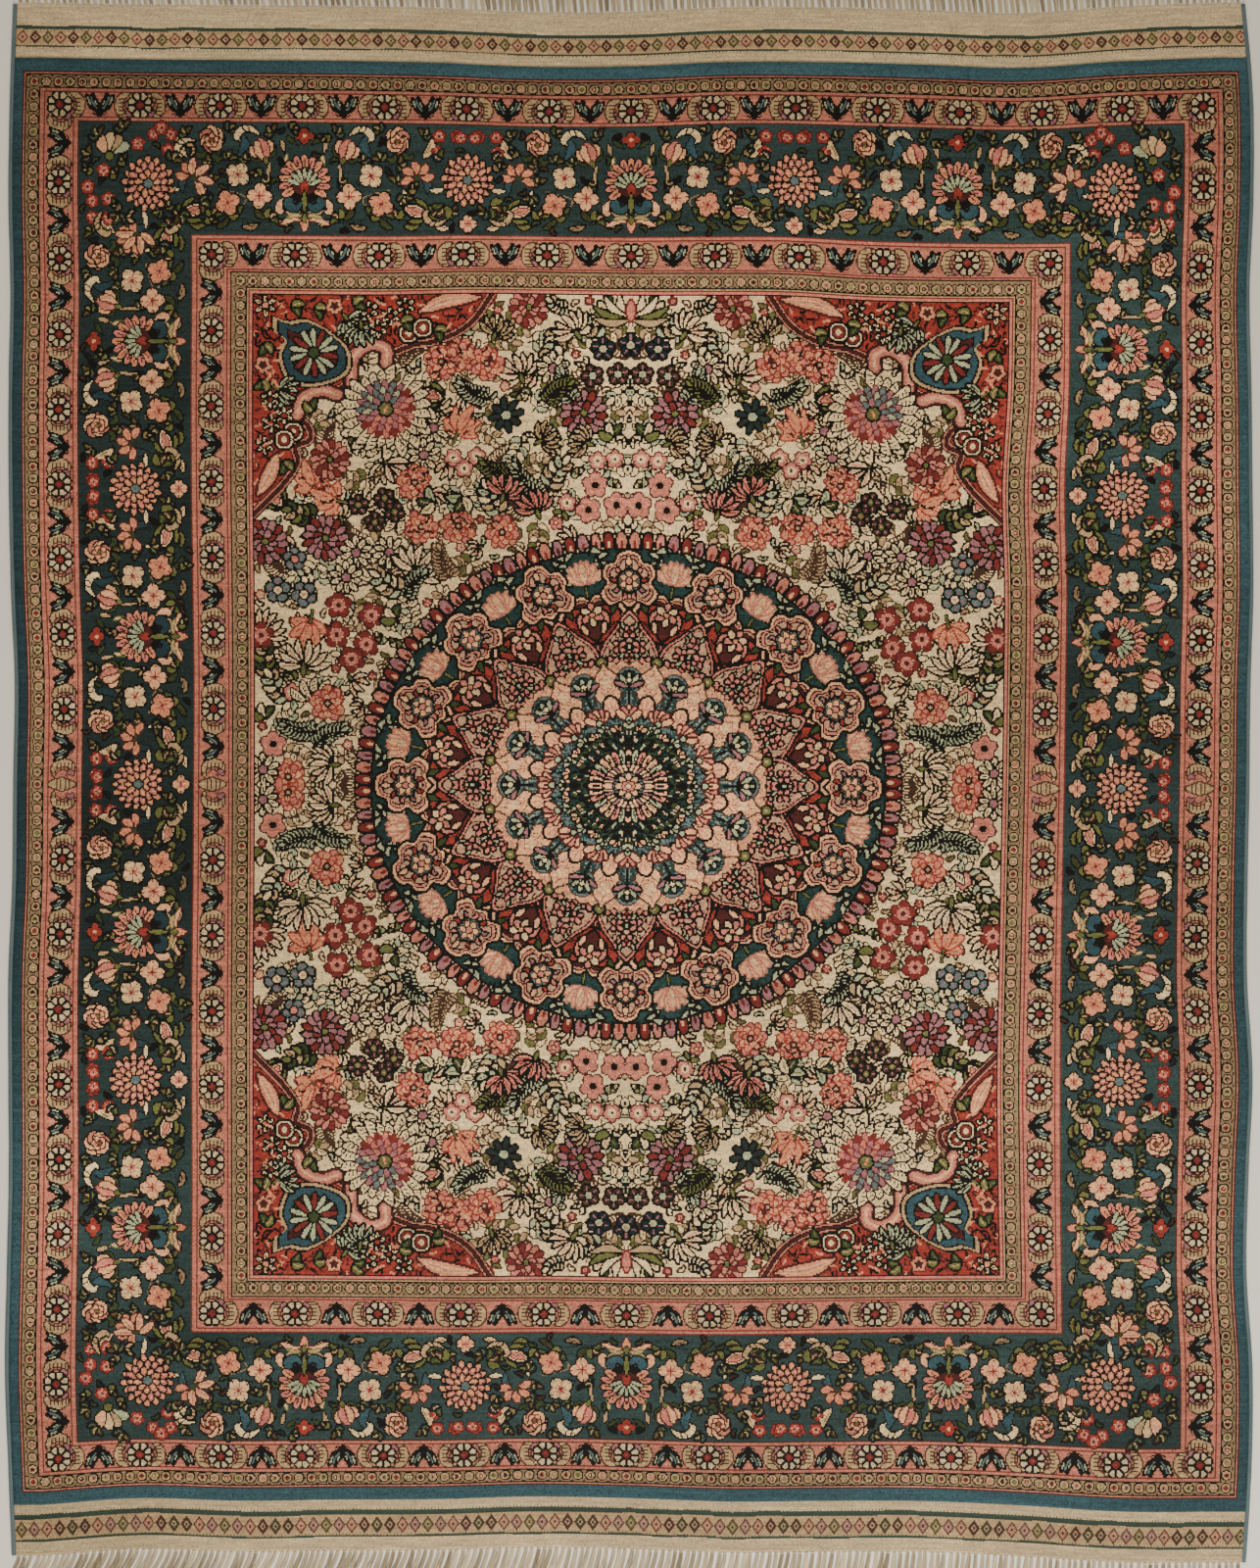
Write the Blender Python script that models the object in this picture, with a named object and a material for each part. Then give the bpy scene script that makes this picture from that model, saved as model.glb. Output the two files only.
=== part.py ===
"""A hand-knotted silk carpet of about 2.4 m by 3.1 m, lying flat.

The knotted pile and the flat-woven ends are one weaving, so they are one solid that steps
down at both ends. A cord is wrapped along each side, and the knotted warp ends are a fringe
at each end. X runs across the carpet, Y along its warps and Z up, all in metres. The origin
is the middle of its footprint, on the surface that it lies on.
"""

import bmesh
import bpy
import numpy as np

# The straight rectangle that the edges wander about.
OUTER_WIDTH = 2.465     # over both side cords
PILE_LENGTH = 2.856     # knotted part
TOP_END = 0.107         # flat-woven end, from the pile to the fringe
BOTTOM_END = 0.101
FRINGE_LENGTH = 0.072

# Thicknesses.
PILE_HEIGHT = 0.0070    # pile standing on its foundation
PILE_SHOULDER = 0.0050  # where the cut pile begins to round over
PILE_ROUND = 0.0030     # how far in the rounding reaches
END_HEIGHT = 0.0022     # flat weave
GAP = 0.0003            # between pieces that touch

# Wrapped side cord.
CORD_WIDTH = 0.0085
CORD_HEIGHT = 0.0052
CORD_SIDES = 10

# Fringe: locks on a narrow strip of knots.
LOCKS = 150             # at each end
STRIP_DEPTH = 0.0045
LOCK_SHARE = 0.52       # of the pitch, at the root
LOCK_TIP_SHARE = 0.30
LOCK_MIDDLE = 0.36      # where a lock is thickest, as a share of its length
LOCK_THICKEST = 0.0026
LOCK_TIP_HEIGHT = 0.0016
LOCK_SHORTER = 0.006    # how much shorter some locks are
LOCK_STRAY = 0.0015     # how far a tip strays from the common lean
FRINGE_BEND = 1.4       # over 1, a lock leans more towards its tip
FRINGE_SEED = 11

# How far each side edge wanders towards +X, from the bottom end to the top end, in mm.
SIDE_STEP = 0.1944
SIDE_WANDER = (
    # left, right
    (5.8, -9.7),
    (-1.9, 1.9),
    (-8.7, 3.9),
    (-4.9, -7.8),
    (-1.0, -3.9),
    (-1.9, 3.9),
    (-1.9, -6.8),
    (5.8, -5.8),
    (7.8, -1.9),
    (10.7, 0.0),
    (2.9, 5.8),
    (-1.0, 3.9),
    (-1.6, 1.9),
    (1.9, -1.9),
    (-1.9, 5.8),
    (1.0, 4.9),
    (7.8, -11.7),
)

# How far each end of the pile wanders towards +Y, from left to right, in mm.
END_STEP = 0.1944
END_WANDER = (
    # bottom, top
    (-5.8, 10.7),
    (7.8, 7.4),
    (2.7, 5.8),
    (4.9, 4.5),
    (5.8, 0.6),
    (11.1, -7.4),
    (7.8, -6.8),
    (1.0, 1.9),
    (2.3, 1.4),
    (1.9, -3.5),
    (-6.8, -9.7),
    (-18.9, 3.1),
    (-19.4, 10.7),
)

# How the fringe lies: sideways lean of a lock's tip towards +X, from left to right, in mm.
LEAN_STEP = 0.58
FRINGE_LEAN = (
    # bottom, top
    (-38.0, -26.0),
    (-30.0, -16.0),
    (-18.0, -6.0),
    (-10.0, -12.0),
    (-6.0, -8.0),
)

ACROSS = 44             # steps across the carpet
ALONG = 52              # steps along the pile

BLUE = (0.030, 0.095, 0.125, 1.0)
RUST = (0.300, 0.120, 0.085, 1.0)
CREAM = (0.560, 0.460, 0.300, 1.0)


def smooth_table(position, step, values):
    """A curve through evenly spaced values centred on zero, easing from each to the next."""
    values = np.asarray(values) / 1000
    place = np.clip(np.asarray(position) / step + (len(values) - 1) / 2, 0, len(values) - 1)
    index = np.minimum(place.astype(int), len(values) - 2)
    t = place - index
    slope = np.gradient(values)
    before, after = values[index], values[index + 1]
    leave, arrive = slope[index], slope[index + 1]
    return (before * (1 + 2 * t) * (1 - t) ** 2 + leave * t * (1 - t) ** 2
            + after * t * t * (3 - 2 * t) + arrive * t * t * (t - 1))


def side_edge(y, side):
    """X of the carpet's outer edge at y; side is -1 on the left and 1 on the right."""
    column = 0 if side < 0 else 1
    return side * OUTER_WIDTH / 2 + smooth_table(y, SIDE_STEP, [row[column] for row in SIDE_WANDER])


def pile_end(x, end):
    """Y of the pile's end at x; end is -1 at the bottom and 1 at the top."""
    column = 0 if end < 0 else 1
    return end * PILE_LENGTH / 2 + smooth_table(x, END_STEP, [row[column] for row in END_WANDER])


def woven_end(x, end):
    """Y of the flat weave's outer end at x."""
    return pile_end(x, end) + (TOP_END if end > 0 else -BOTTOM_END)


def weave_edge(y, side, inset=0.0):
    """X of the weaving's own edge, inside the wrapped cord."""
    return side_edge(y, side) - side * (CORD_WIDTH + GAP + inset)


def end_row(end, edge_of, inset=0.0):
    """Points from left to right along one end, on the line that edge_of gives."""
    share = np.linspace(0, 1, ACROSS + 1)
    x = np.linspace(-OUTER_WIDTH / 2, OUTER_WIDTH / 2, ACROSS + 1)
    for _ in range(4):      # the corners lie where the end line meets the side lines
        y = edge_of(x, end) - end * inset
        left, right = weave_edge(y[0], -1, inset), weave_edge(y[-1], 1, inset)
        x = left + (right - left) * share
    return np.column_stack([x, edge_of(x, end) - end * inset])


def side_column(side, inset=0.0):
    """Points from the bottom end of the pile to its top end along one side."""
    corner = 0 if side < 0 else -1
    low = end_row(-1, pile_end, inset)[corner]
    high = end_row(1, pile_end, inset)[corner]
    y = np.linspace(low[1], high[1], ALONG + 1)
    x = weave_edge(y, side, inset)
    return np.column_stack([x, y])


def pile_ring(inset=0.0):
    """The pile's outline from its bottom left corner: its bottom, right, top and left rows."""
    return [end_row(-1, pile_end, inset), side_column(1, inset),
            end_row(1, pile_end, inset)[::-1], side_column(-1, inset)[::-1]]


def material(name, colour, roughness):
    finish = bpy.data.materials.new(name)
    finish.use_nodes = True
    shader = finish.node_tree.nodes["Principled BSDF"]
    shader.inputs["Base Color"].default_value = colour
    shader.inputs["Roughness"].default_value = roughness
    shader.inputs["Metallic"].default_value = 0.0
    return finish


def add_object(name, mesh_builder, finish):
    mesh = bpy.data.meshes.new(name)
    mesh_builder.to_mesh(mesh)
    mesh_builder.free()
    mesh.materials.append(finish)
    piece = bpy.data.objects.new(name, mesh)
    bpy.context.scene.collection.objects.link(piece)
    return piece


def place(builder, points, height):
    """Vertices at one height for a list of plan points."""
    return [builder.verts.new((x, y, height)) for x, y in points]


def join_rows(builder, lower, upper):
    """A band of four-sided faces between two open rows of vertices."""
    for a, b, c, d in zip(lower, lower[1:], upper[1:], upper):
        builder.faces.new((a, b, c, d))


def make_carpet(finish):
    """One solid: the pile with its rounded edge, stepping down to a flat weave at each end."""
    builder = bmesh.new()

    def closed(rows, height):
        """The vertices of a ring, where each row ends on the next row's first vertex."""
        firsts = [place(builder, row[:-1], height) for row in rows]
        return [part + [firsts[(i + 1) % 4][0]] for i, part in enumerate(firsts)]

    top = closed(pile_ring(PILE_ROUND), PILE_HEIGHT)
    shoulder = closed(pile_ring(), PILE_SHOULDER)
    for inner, outer in zip(top, shoulder):
        join_rows(builder, outer, inner)
    builder.faces.new([v for row in top for v in row[:-1]])

    outline = pile_ring()
    foot = {end: place(builder, outline[row], END_HEIGHT) for end, row in ((-1, 0), (1, 2))}
    tip_top, tip_low = {}, {}
    for end in (-1, 1):
        tip = end_row(end, woven_end)[::-end]
        tip_top[end] = place(builder, tip, END_HEIGHT)
        tip_low[end] = place(builder, tip, 0.0)
    side_low = {side: place(builder, outline[row], 0.0) for side, row in ((1, 1), (-1, 3))}

    for end, row in ((-1, 0), (1, 2)):
        join_rows(builder, foot[end], shoulder[row])
        join_rows(builder, tip_top[end], foot[end])
        join_rows(builder, tip_low[end], tip_top[end])
    for side, row, first, last in ((1, 1, -1, 1), (-1, 3, 1, -1)):
        low, high = side_low[side], shoulder[row]
        first_corner, last_corner = foot[first][-1], foot[last][0]
        builder.faces.new((low[0], low[1], high[1], high[0], first_corner))
        join_rows(builder, low[1:-1], high[1:-1])
        builder.faces.new((low[-2], low[-1], last_corner, high[-1], high[-2]))
        builder.faces.new((tip_low[first][-1], low[0], first_corner, tip_top[first][-1]))
        builder.faces.new((low[-1], tip_low[last][0], tip_top[last][0], last_corner))
    underside = tip_low[-1] + side_low[1] + tip_low[1] + side_low[-1]
    builder.faces.new(underside[::-1])
    return add_object("carpet", builder, finish)


def make_side_cord(name, side, finish):
    """The wrapped cord along one side: an oval profile with a flat underside, carried along."""
    builder = bmesh.new()
    corner = 0 if side < 0 else -1
    low, high = (end_row(end, woven_end)[corner][1] for end in (-1, 1))
    y = np.concatenate([[low], side_column(side)[:, 1], [high]])
    turn = 2 * np.pi * (np.arange(CORD_SIDES) + 0.5) / CORD_SIDES
    across = CORD_WIDTH / 2 * np.cos(turn) / np.cos(turn[0])
    up = CORD_HEIGHT / 2 * (1 + np.sin(turn) / np.sin(turn).max())
    centre = side_edge(y, side) - side * CORD_WIDTH / 2
    rings = [[builder.verts.new((cx + a, cy, h)) for a, h in zip(across, up)]
             for cx, cy in zip(centre, y)]
    for near, far in zip(rings, rings[1:]):
        join_rows(builder, far + far[:1], near + near[:1])
    builder.faces.new(rings[0])
    builder.faces.new(rings[-1][::-1])
    return add_object(name, builder, finish)


def make_fringe(name, end, finish):
    """Locks of warp ends drawn out from the outer face of a narrow strip of knots."""
    builder = bmesh.new()
    chance = np.random.default_rng(FRINGE_SEED + end)
    column = 0 if end < 0 else 1
    row = end_row(end, woven_end)
    left, right = row[0, 0], row[-1, 0]
    pitch = (right - left) / LOCKS
    root = pitch * LOCK_SHARE / 2
    tip = pitch * LOCK_TIP_SHARE / 2
    middle_x = left + pitch * (np.arange(LOCKS) + 0.5)
    length = FRINGE_LENGTH - STRIP_DEPTH + chance.uniform(-LOCK_SHORTER, 0.0, LOCKS)
    lean = smooth_table(middle_x, LEAN_STEP, [pair[column] for pair in FRINGE_LEAN])
    lean = lean + chance.uniform(-LOCK_STRAY, LOCK_STRAY, LOCKS)

    edges = [left]
    for x in middle_x:
        edges += [x - root, x + root]
    edges = np.array(edges + [right])
    inner_y = np.interp(edges, row[:, 0], row[:, 1]) + end * GAP
    outer_y = inner_y + end * STRIP_DEPTH
    inner = {h: place(builder, np.column_stack([edges, inner_y]), h) for h in (0.0, END_HEIGHT)}
    outer = {h: place(builder, np.column_stack([edges, outer_y]), h) for h in (0.0, END_HEIGHT)}
    join_rows(builder, inner[END_HEIGHT], outer[END_HEIGHT])
    join_rows(builder, outer[0.0], inner[0.0])
    join_rows(builder, inner[0.0], inner[END_HEIGHT])
    for last, order in ((0, 1), (-1, -1)):
        rim = [inner[0.0][last], inner[END_HEIGHT][last], outer[END_HEIGHT][last], outer[0.0][last]]
        builder.faces.new(rim[::order])
    for k in range(0, len(edges), 2):       # the strip's face between two locks
        join_rows(builder, outer[END_HEIGHT][k:k + 2], outer[0.0][k:k + 2])
    for lock in range(LOCKS):
        k = 2 * lock + 1
        near = [outer[0.0][k], outer[0.0][k + 1], outer[END_HEIGHT][k + 1], outer[END_HEIGHT][k]]
        start = outer_y[k:k + 2].mean()
        for share, half, height in ((LOCK_MIDDLE, (root + tip) / 2, LOCK_THICKEST),
                                    (1.0, tip, LOCK_TIP_HEIGHT)):
            x = middle_x[lock] + lean[lock] * share ** FRINGE_BEND
            y = start + end * length[lock] * share
            far = [builder.verts.new(corner) for corner in
                   ((x - half, y, 0.0), (x + half, y, 0.0), (x + half, y, height), (x - half, y, height))]
            join_rows(builder, near + near[:1], far + far[:1])
            near = far
        builder.faces.new(near)
    bmesh.ops.recalc_face_normals(builder, faces=builder.faces)
    return add_object(name, builder, finish)


def centre_footprint(pieces):
    """Moves the whole carpet so that the middle of its footprint is the origin."""
    points = np.concatenate([[v.co[:2] for v in piece.data.vertices] for piece in pieces])
    middle = (points.min(axis=0) + points.max(axis=0)) / 2
    for piece in pieces:
        piece.location = (-middle[0], -middle[1], 0.0)


def main():
    for leftover in list(bpy.data.objects):
        bpy.data.objects.remove(leftover, do_unlink=True)
    silk = material("knotted_silk", RUST, 0.55)
    wrapping = material("wrapped_silk", BLUE, 0.55)
    warps = material("warp_silk", CREAM, 0.6)
    pieces = [
        make_carpet(silk),
        make_side_cord("selvedge_left", -1, wrapping),
        make_side_cord("selvedge_right", 1, wrapping),
        make_fringe("fringe_bottom", -1, warps),
        make_fringe("fringe_top", 1, warps),
    ]
    centre_footprint(pieces)


main()
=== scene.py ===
import bpy
import numpy as np
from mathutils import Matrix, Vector


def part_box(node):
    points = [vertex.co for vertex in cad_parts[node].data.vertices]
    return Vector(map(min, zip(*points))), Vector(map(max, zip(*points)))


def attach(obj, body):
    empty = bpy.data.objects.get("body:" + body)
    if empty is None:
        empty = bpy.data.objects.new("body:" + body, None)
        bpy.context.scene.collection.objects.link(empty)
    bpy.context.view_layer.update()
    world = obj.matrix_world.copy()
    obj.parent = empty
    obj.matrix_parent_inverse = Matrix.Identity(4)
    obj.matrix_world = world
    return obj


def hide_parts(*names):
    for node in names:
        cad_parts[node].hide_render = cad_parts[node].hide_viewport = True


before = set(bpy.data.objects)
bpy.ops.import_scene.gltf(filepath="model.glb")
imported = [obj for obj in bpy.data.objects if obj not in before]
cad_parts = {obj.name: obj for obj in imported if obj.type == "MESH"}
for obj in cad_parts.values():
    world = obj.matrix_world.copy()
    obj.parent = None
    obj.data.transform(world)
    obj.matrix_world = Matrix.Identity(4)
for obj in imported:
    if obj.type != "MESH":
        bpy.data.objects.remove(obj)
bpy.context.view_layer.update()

carpet = {                   # metres; the outline is the same as the solids have
    "outerWidth": 2.465,
    "pileLength": 2.856,
    "topEnd": 0.107,
    "bottomEnd": 0.101,
    "fringeLength": 0.072,
    "cordWidth": 0.0085,
    "cordHeight": 0.0052,
    "gap": 0.0003,
    "pileHeight": 0.0070,
    "pileShoulder": 0.0050,
    "endHeight": 0.0022,
}
wanderStep = 0.1944          # metres between the rows of the two tables below
sideWander = (               # how far the left and right edges wander to +X, upwards, in mm
    (5.8, -9.7), (-1.9, 1.9), (-8.7, 3.9), (-4.9, -7.8), (-1.0, -3.9), (-1.9, 3.9),
    (-1.9, -6.8), (5.8, -5.8), (7.8, -1.9), (10.7, 0.0), (2.9, 5.8), (-1.0, 3.9),
    (-1.6, 1.9), (1.9, -1.9), (-1.9, 5.8), (1.0, 4.9), (7.8, -11.7),
)
endWander = (                # how far the bottom and top of the pile wander to +Y, rightwards, in mm
    (-5.8, 10.7), (7.8, 7.4), (2.7, 5.8), (4.9, 4.5), (5.8, 0.6), (11.1, -7.4), (7.8, -6.8),
    (1.0, 1.9), (2.3, 1.4), (1.9, -3.5), (-6.8, -9.7), (-18.9, 3.1), (-19.4, 10.7),
)
leanStep = 0.58
fringeLean = (               # how far the bottom and top fringe's tips lean to +X, rightwards, in mm
    (-38.0, -26.0), (-30.0, -16.0), (-18.0, -6.0), (-10.0, -12.0), (-6.0, -8.0),
)
fieldLine = {                # the line round the inner guard stripe, and how far it wanders, in mm
    "halfWidth": 779.5,
    "halfLength": 1014.0,
    "sideStep": 0.1944,
    "side": (                # left, right: upwards
        (-3.9, -10.0), (-4.1, -13.5), (-4.5, -15.5), (-4.3, -11.6), (-3.2, -7.8), (-2.4, -3.9),
        (-2.0, -1.4), (-3.0, 0.0), (-5.4, -4.5), (-6.3, 6.5), (-5.4, 9.8),
    ),
    "endStep": 0.1555,
    "end": (                 # bottom, top: rightwards
        (-3.7, -3.1), (-4.2, -5.0), (-5.5, -5.4), (-7.0, -2.0), (-6.2, -3.8), (-8.6, -6.0),
        (-9.6, -6.0), (-8.2, -7.2), (-5.6, -16.6), (-4.2, -20.4), (-3.9, -20.6),
    ),
}


# A curve through evenly spaced values centred on zero: each span is a cubic that eases from one
# value to the next.
def smoothTable(position, step, values):
    values = np.asarray(values) / 1000
    place = np.clip(np.asarray(position) / step + (len(values) - 1) / 2, 0, len(values) - 1)
    index = np.minimum(place.astype(int), len(values) - 2)
    t = place - index
    slope = np.gradient(values)
    before, after = values[index], values[index + 1]
    leave, arrive = slope[index], slope[index + 1]
    return (before * (1 + 2 * t) * (1 - t) ** 2 + leave * t * (1 - t) ** 2
            + after * t * t * (3 - 2 * t) + arrive * t * t * (t - 1))


# X of the outer edge at y: half the width, plus what the table adds there.
def sideEdge(y, side):
    column = 0 if side < 0 else 1
    return side * carpet["outerWidth"] / 2 + smoothTable(y, wanderStep, [r[column] for r in sideWander])


# X of the weaving's own edge: the outer edge less the cord and its gap.
def weaveEdge(y, side):
    return sideEdge(y, side) - side * (carpet["cordWidth"] + carpet["gap"])


# Y of the pile's end at x: half the length, plus what the table adds there.
def pileEnd(x, end):
    column = 0 if end < 0 else 1
    return end * carpet["pileLength"] / 2 + smoothTable(x, wanderStep, [r[column] for r in endWander])


# Y of the flat-woven end's own end at x: the pile's end, and the end's depth further out.
def wovenEnd(x, end):
    return pileEnd(x, end) + (carpet["topEnd"] if end > 0 else -carpet["bottomEnd"])


# How far the solids' middle lies from the middle of the plan above.
def planShift():
    y = np.linspace(-1.54, 1.54, 600)
    x = np.linspace(-1.22, 1.22, 600)
    low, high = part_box("carpet")
    planX = (weaveEdge(y, -1).min() + weaveEdge(y, 1).max()) / 2
    planY = (wovenEnd(x, -1).min() + wovenEnd(x, 1).max()) / 2
    return (low[0] + high[0]) / 2 - planX, (low[1] + high[1]) / 2 - planY


shiftX, shiftY = planShift()
print("plan shift in mm", round(shiftX * 1000, 2), round(shiftY * 1000, 2))


# Where a point of the straight pattern lies in the real carpet. Its offset runs in straight
# steps from one edge to the field line on that side, the other field line and the other edge.
def weaveToCarpet(x0, y0):
    halfWidth = carpet["outerWidth"] / 2 - carpet["cordWidth"] - carpet["gap"]
    halfLength = carpet["pileLength"] / 2
    innerX, innerY = fieldLine["halfWidth"] / 1000, fieldLine["halfLength"] / 1000

    def between(place, outer, inner, low, lowInner, highInner, high):
        share = np.clip((place + inner) / (2 * inner), 0, 1)
        middle = lowInner * (1 - share) + highInner * share
        leftShare = np.clip((place + outer) / (outer - inner), 0, 1)
        rightShare = np.clip((outer - place) / (outer - inner), 0, 1)
        return np.where(place < -inner, low * (1 - leftShare) + lowInner * leftShare,
                        np.where(place > inner, high * (1 - rightShare) + highInner * rightShare, middle))

    x, y = x0, y0
    for _ in range(3):
        left, right = weaveEdge(y, -1) + halfWidth, weaveEdge(y, 1) - halfWidth
        innerLeft, innerRight = (smoothTable(y, fieldLine["sideStep"], [r[k] for r in fieldLine["side"]])
                                 for k in (0, 1))
        nextX = x0 + between(x0, halfWidth, innerX, left, innerLeft, innerRight, right)
        bottom, top = pileEnd(x, -1) + halfLength, pileEnd(x, 1) - halfLength
        innerBottom, innerTop = (smoothTable(x, fieldLine["endStep"], [r[k] for r in fieldLine["end"]])
                                 for k in (0, 1))
        y = y0 + between(y0, halfLength, innerY, bottom, innerBottom, innerTop, top)
        x = nextX
    return x, y


chartPlan = {                # one quarter of the pile, in millimetres from the carpet's middle
    "halfWidth": 1223.7,
    "halfLength": 1428.0,
    "knotsAcross": 480,
    "knotsAlong": 560,
}

yarns = {                    # dyed silks, as red, green and blue of 255
    "ink": (13, 10, 7),
    "navy": (22, 34, 38),
    "teal": (40, 56, 53),
    "edgeBlue": (45, 71, 76),
    "slate": (96, 110, 106),
    "sea": (34, 60, 55),
    "deepSea": (25, 47, 43),
    "pine": (50, 66, 52),
    "moss": (54, 66, 34),
    "olive": (103, 104, 54),
    "celadon": (170, 173, 132),
    "ivory": (238, 205, 150),
    "cream": (224, 183, 131),
    "sand": (184, 150, 106),
    "wheat": (204, 178, 134),
    "tan": (146, 117, 83),
    "blush": (190, 145, 112),
    "bark": (66, 43, 29),
    "peach": (233, 169, 122),
    "apricot": (216, 138, 100),
    "salmon": (187, 116, 93),
    "rose": (204, 122, 103),
    "mauve": (158, 102, 102),
    "red": (150, 54, 43),
    "crimson": (120, 43, 38),
    "maroon": (74, 30, 27),
}
yarnNumber = {name: number for number, name in enumerate(yarns)}

chart = np.zeros((chartPlan["knotsAlong"], chartPlan["knotsAcross"]), dtype=np.uint8)
knotAcross = chartPlan["halfWidth"] / chartPlan["knotsAcross"]
knotAlong = chartPlan["halfLength"] / chartPlan["knotsAlong"]


# A smooth curve through a few points: each span is a cubic whose slopes follow its neighbours.
def flow(points, count=14):
    points = np.asarray(points, dtype=float)
    if len(points) == 2:
        share = np.linspace(0, 1, count)[:, None]
        return points[0] * (1 - share) + points[1] * share
    slopes = np.gradient(points, axis=0)
    place = np.linspace(0, len(points) - 1, count * (len(points) - 1))
    first = np.minimum(place.astype(int), len(points) - 2)
    t = (place - first)[:, None]
    a, b, m, n = points[first], points[first + 1], slopes[first], slopes[first + 1]
    return (a * (1 + 2 * t) * (1 - t) ** 2 + m * t * (1 - t) ** 2
            + b * t * t * (3 - 2 * t) + n * t * t * (t - 1))


# How a brush's half width runs from the start of a line (0) to its end (1).
brushes = {
    "stem": lambda t: np.ones_like(t),
    "leaf": lambda t: np.sin(np.pi * np.clip(t, 0.02, 0.98)) ** 0.75,
    "drop": lambda t: np.sin(np.pi * np.clip(t, 0, 1) ** 1.7 * 0.96 + 0.06) ** 0.8,
    "tail": lambda t: 1 - 0.85 * t,
    "petal": lambda t: 0.45 + 0.55 * np.sin(np.pi * np.clip(t, 0, 1) ** 1.2 * 0.82),
}


class Motif:
    # A place on the chart with its own millimetres: u runs across it and v towards its top.
    rimGrowth = 1.5          # makes every motif's rim wider or narrower

    def __init__(self, x, y, turn=0.0, size=1.0, flip=1, parent=None):
        turnBy = np.radians(turn)
        local = size * np.array([[np.cos(turnBy) * flip, np.sin(turnBy)],
                                 [-np.sin(turnBy) * flip, np.cos(turnBy)]])
        if parent is None:
            self.axes, self.origin, self.scale = local, np.array([x, y], dtype=float), size
        else:
            self.axes = parent.axes @ local
            self.origin = parent.origin + parent.axes @ np.array([x, y], dtype=float)
            self.scale = parent.scale * size

    def part(self, u, v, turn=0.0, size=1.0, flip=1):
        return Motif(u, v, turn, size, flip, parent=self)

    # The same place twice: as it is, and mirrored from side to side.
    def mirrored(self):
        return [self.part(0, 0, flip=side) for side in (-1, 1)]

    # A few lines, each as line() takes it, on both sides.
    def pair(self, *strokes):
        for half in self.mirrored():
            for stroke in strokes:
                half.line(*stroke)

    # A few lines at each of a few turns about a point v above this one.
    def fan(self, turns, v, *strokes):
        for turn in turns:
            for stroke in strokes:
                self.part(0, v, turn).line(*stroke)

    # One outline laid inside another, each of its own size; only the full-size ones have a rim.
    def nested(self, outline, layers, rim=2.6):
        for size, yarn in layers:
            self.part(0, 0, size=size).patch(outline, yarn, rim if size >= 1 else 0)

    # The knots round a box of local points, with their local coordinates.
    def knotsNear(self, points, reach):
        placed = np.atleast_2d(points) @ self.axes.T + self.origin
        low = placed.min(axis=0) - reach
        high = placed.max(axis=0) + reach
        left = max(int(low[0] / knotAcross), 0)
        right = min(int(high[0] / knotAcross) + 2, chart.shape[1])
        bottom = max(int(low[1] / knotAlong), 0)
        top = min(int(high[1] / knotAlong) + 2, chart.shape[0])
        if left >= right or bottom >= top:
            return None
        x = (np.arange(left, right) + 0.5) * knotAcross
        y = (np.arange(bottom, top) + 0.5) * knotAlong
        x, y = np.meshgrid(x, y)
        return chart[bottom:top, left:right], x - self.origin[0], y - self.origin[1]

    # Lays a shape given by its distance in millimetres, negative inside, with a rim round it.
    def lay(self, area, distance, yarn, rim, rimYarn):
        if rim > 0:
            area[(distance < rim * Motif.rimGrowth) & (distance >= 0)] = yarnNumber[rimYarn]
        area[distance < 0] = yarnNumber[yarn]

    # A line through a few points, whose half width follows a brush, with a rim of another yarn.
    def line(self, points, width, yarn, brush="leaf", rim=0.0, rimYarn="ink"):
        path = flow(points)
        found = self.knotsNear(path, width * self.scale + rim + 4)
        if found is None:
            return self
        area, x, y = found
        placed = path @ self.axes.T
        half = width * self.scale * brushes[brush](np.linspace(0, 1, len(path)))
        away = np.hypot(x[..., None] - placed[:, 0], y[..., None] - placed[:, 1]) - half
        self.lay(area, away.min(axis=-1), yarn, rim, rimYarn)
        return self

    # A flower head: its rim is a circle drawn in between the petals. Rings of other yarns
    # lie inside it, and veins part the petals.
    def bloom(self, petals, radius, yarn, depth=0.2, rim=2.2, rimYarn="ink", start=0.0,
              vein=0.0, veinYarn="ink", veinFrom=0.3, squash=1.0):
        found = self.knotsNear([[0, 0]], radius * self.scale * max(1, squash) + rim + 4)
        if found is None:
            return self
        area, x, y = found
        inverse = np.linalg.inv(self.axes)
        u = inverse[0, 0] * x + inverse[0, 1] * y
        v = (inverse[1, 0] * x + inverse[1, 1] * y) / squash
        distance = np.hypot(u, v)
        angle = np.arctan2(u, v) + np.radians(start)
        wave = np.abs(np.cos(petals * angle / 2)) ** 0.7
        edge = radius * (1 - depth * (1 - wave))
        away = (distance - edge) * self.scale
        self.lay(area, away, yarn, rim, rimYarn)
        if vein > 0:
            toValley = np.abs((petals * angle / (2 * np.pi)) % 1.0 - 0.5) * 2 * np.pi / petals
            between = toValley * distance * self.scale < vein / 2
            area[(away < 0) & between & (distance > radius * veinFrom)] = yarnNumber[veinYarn]
        return self

    def disc(self, radius, yarn, rim=0.0, rimYarn="ink", squash=1.0):
        return self.bloom(1, radius, yarn, depth=0.0, rim=rim, rimYarn=rimYarn, squash=squash)

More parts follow.
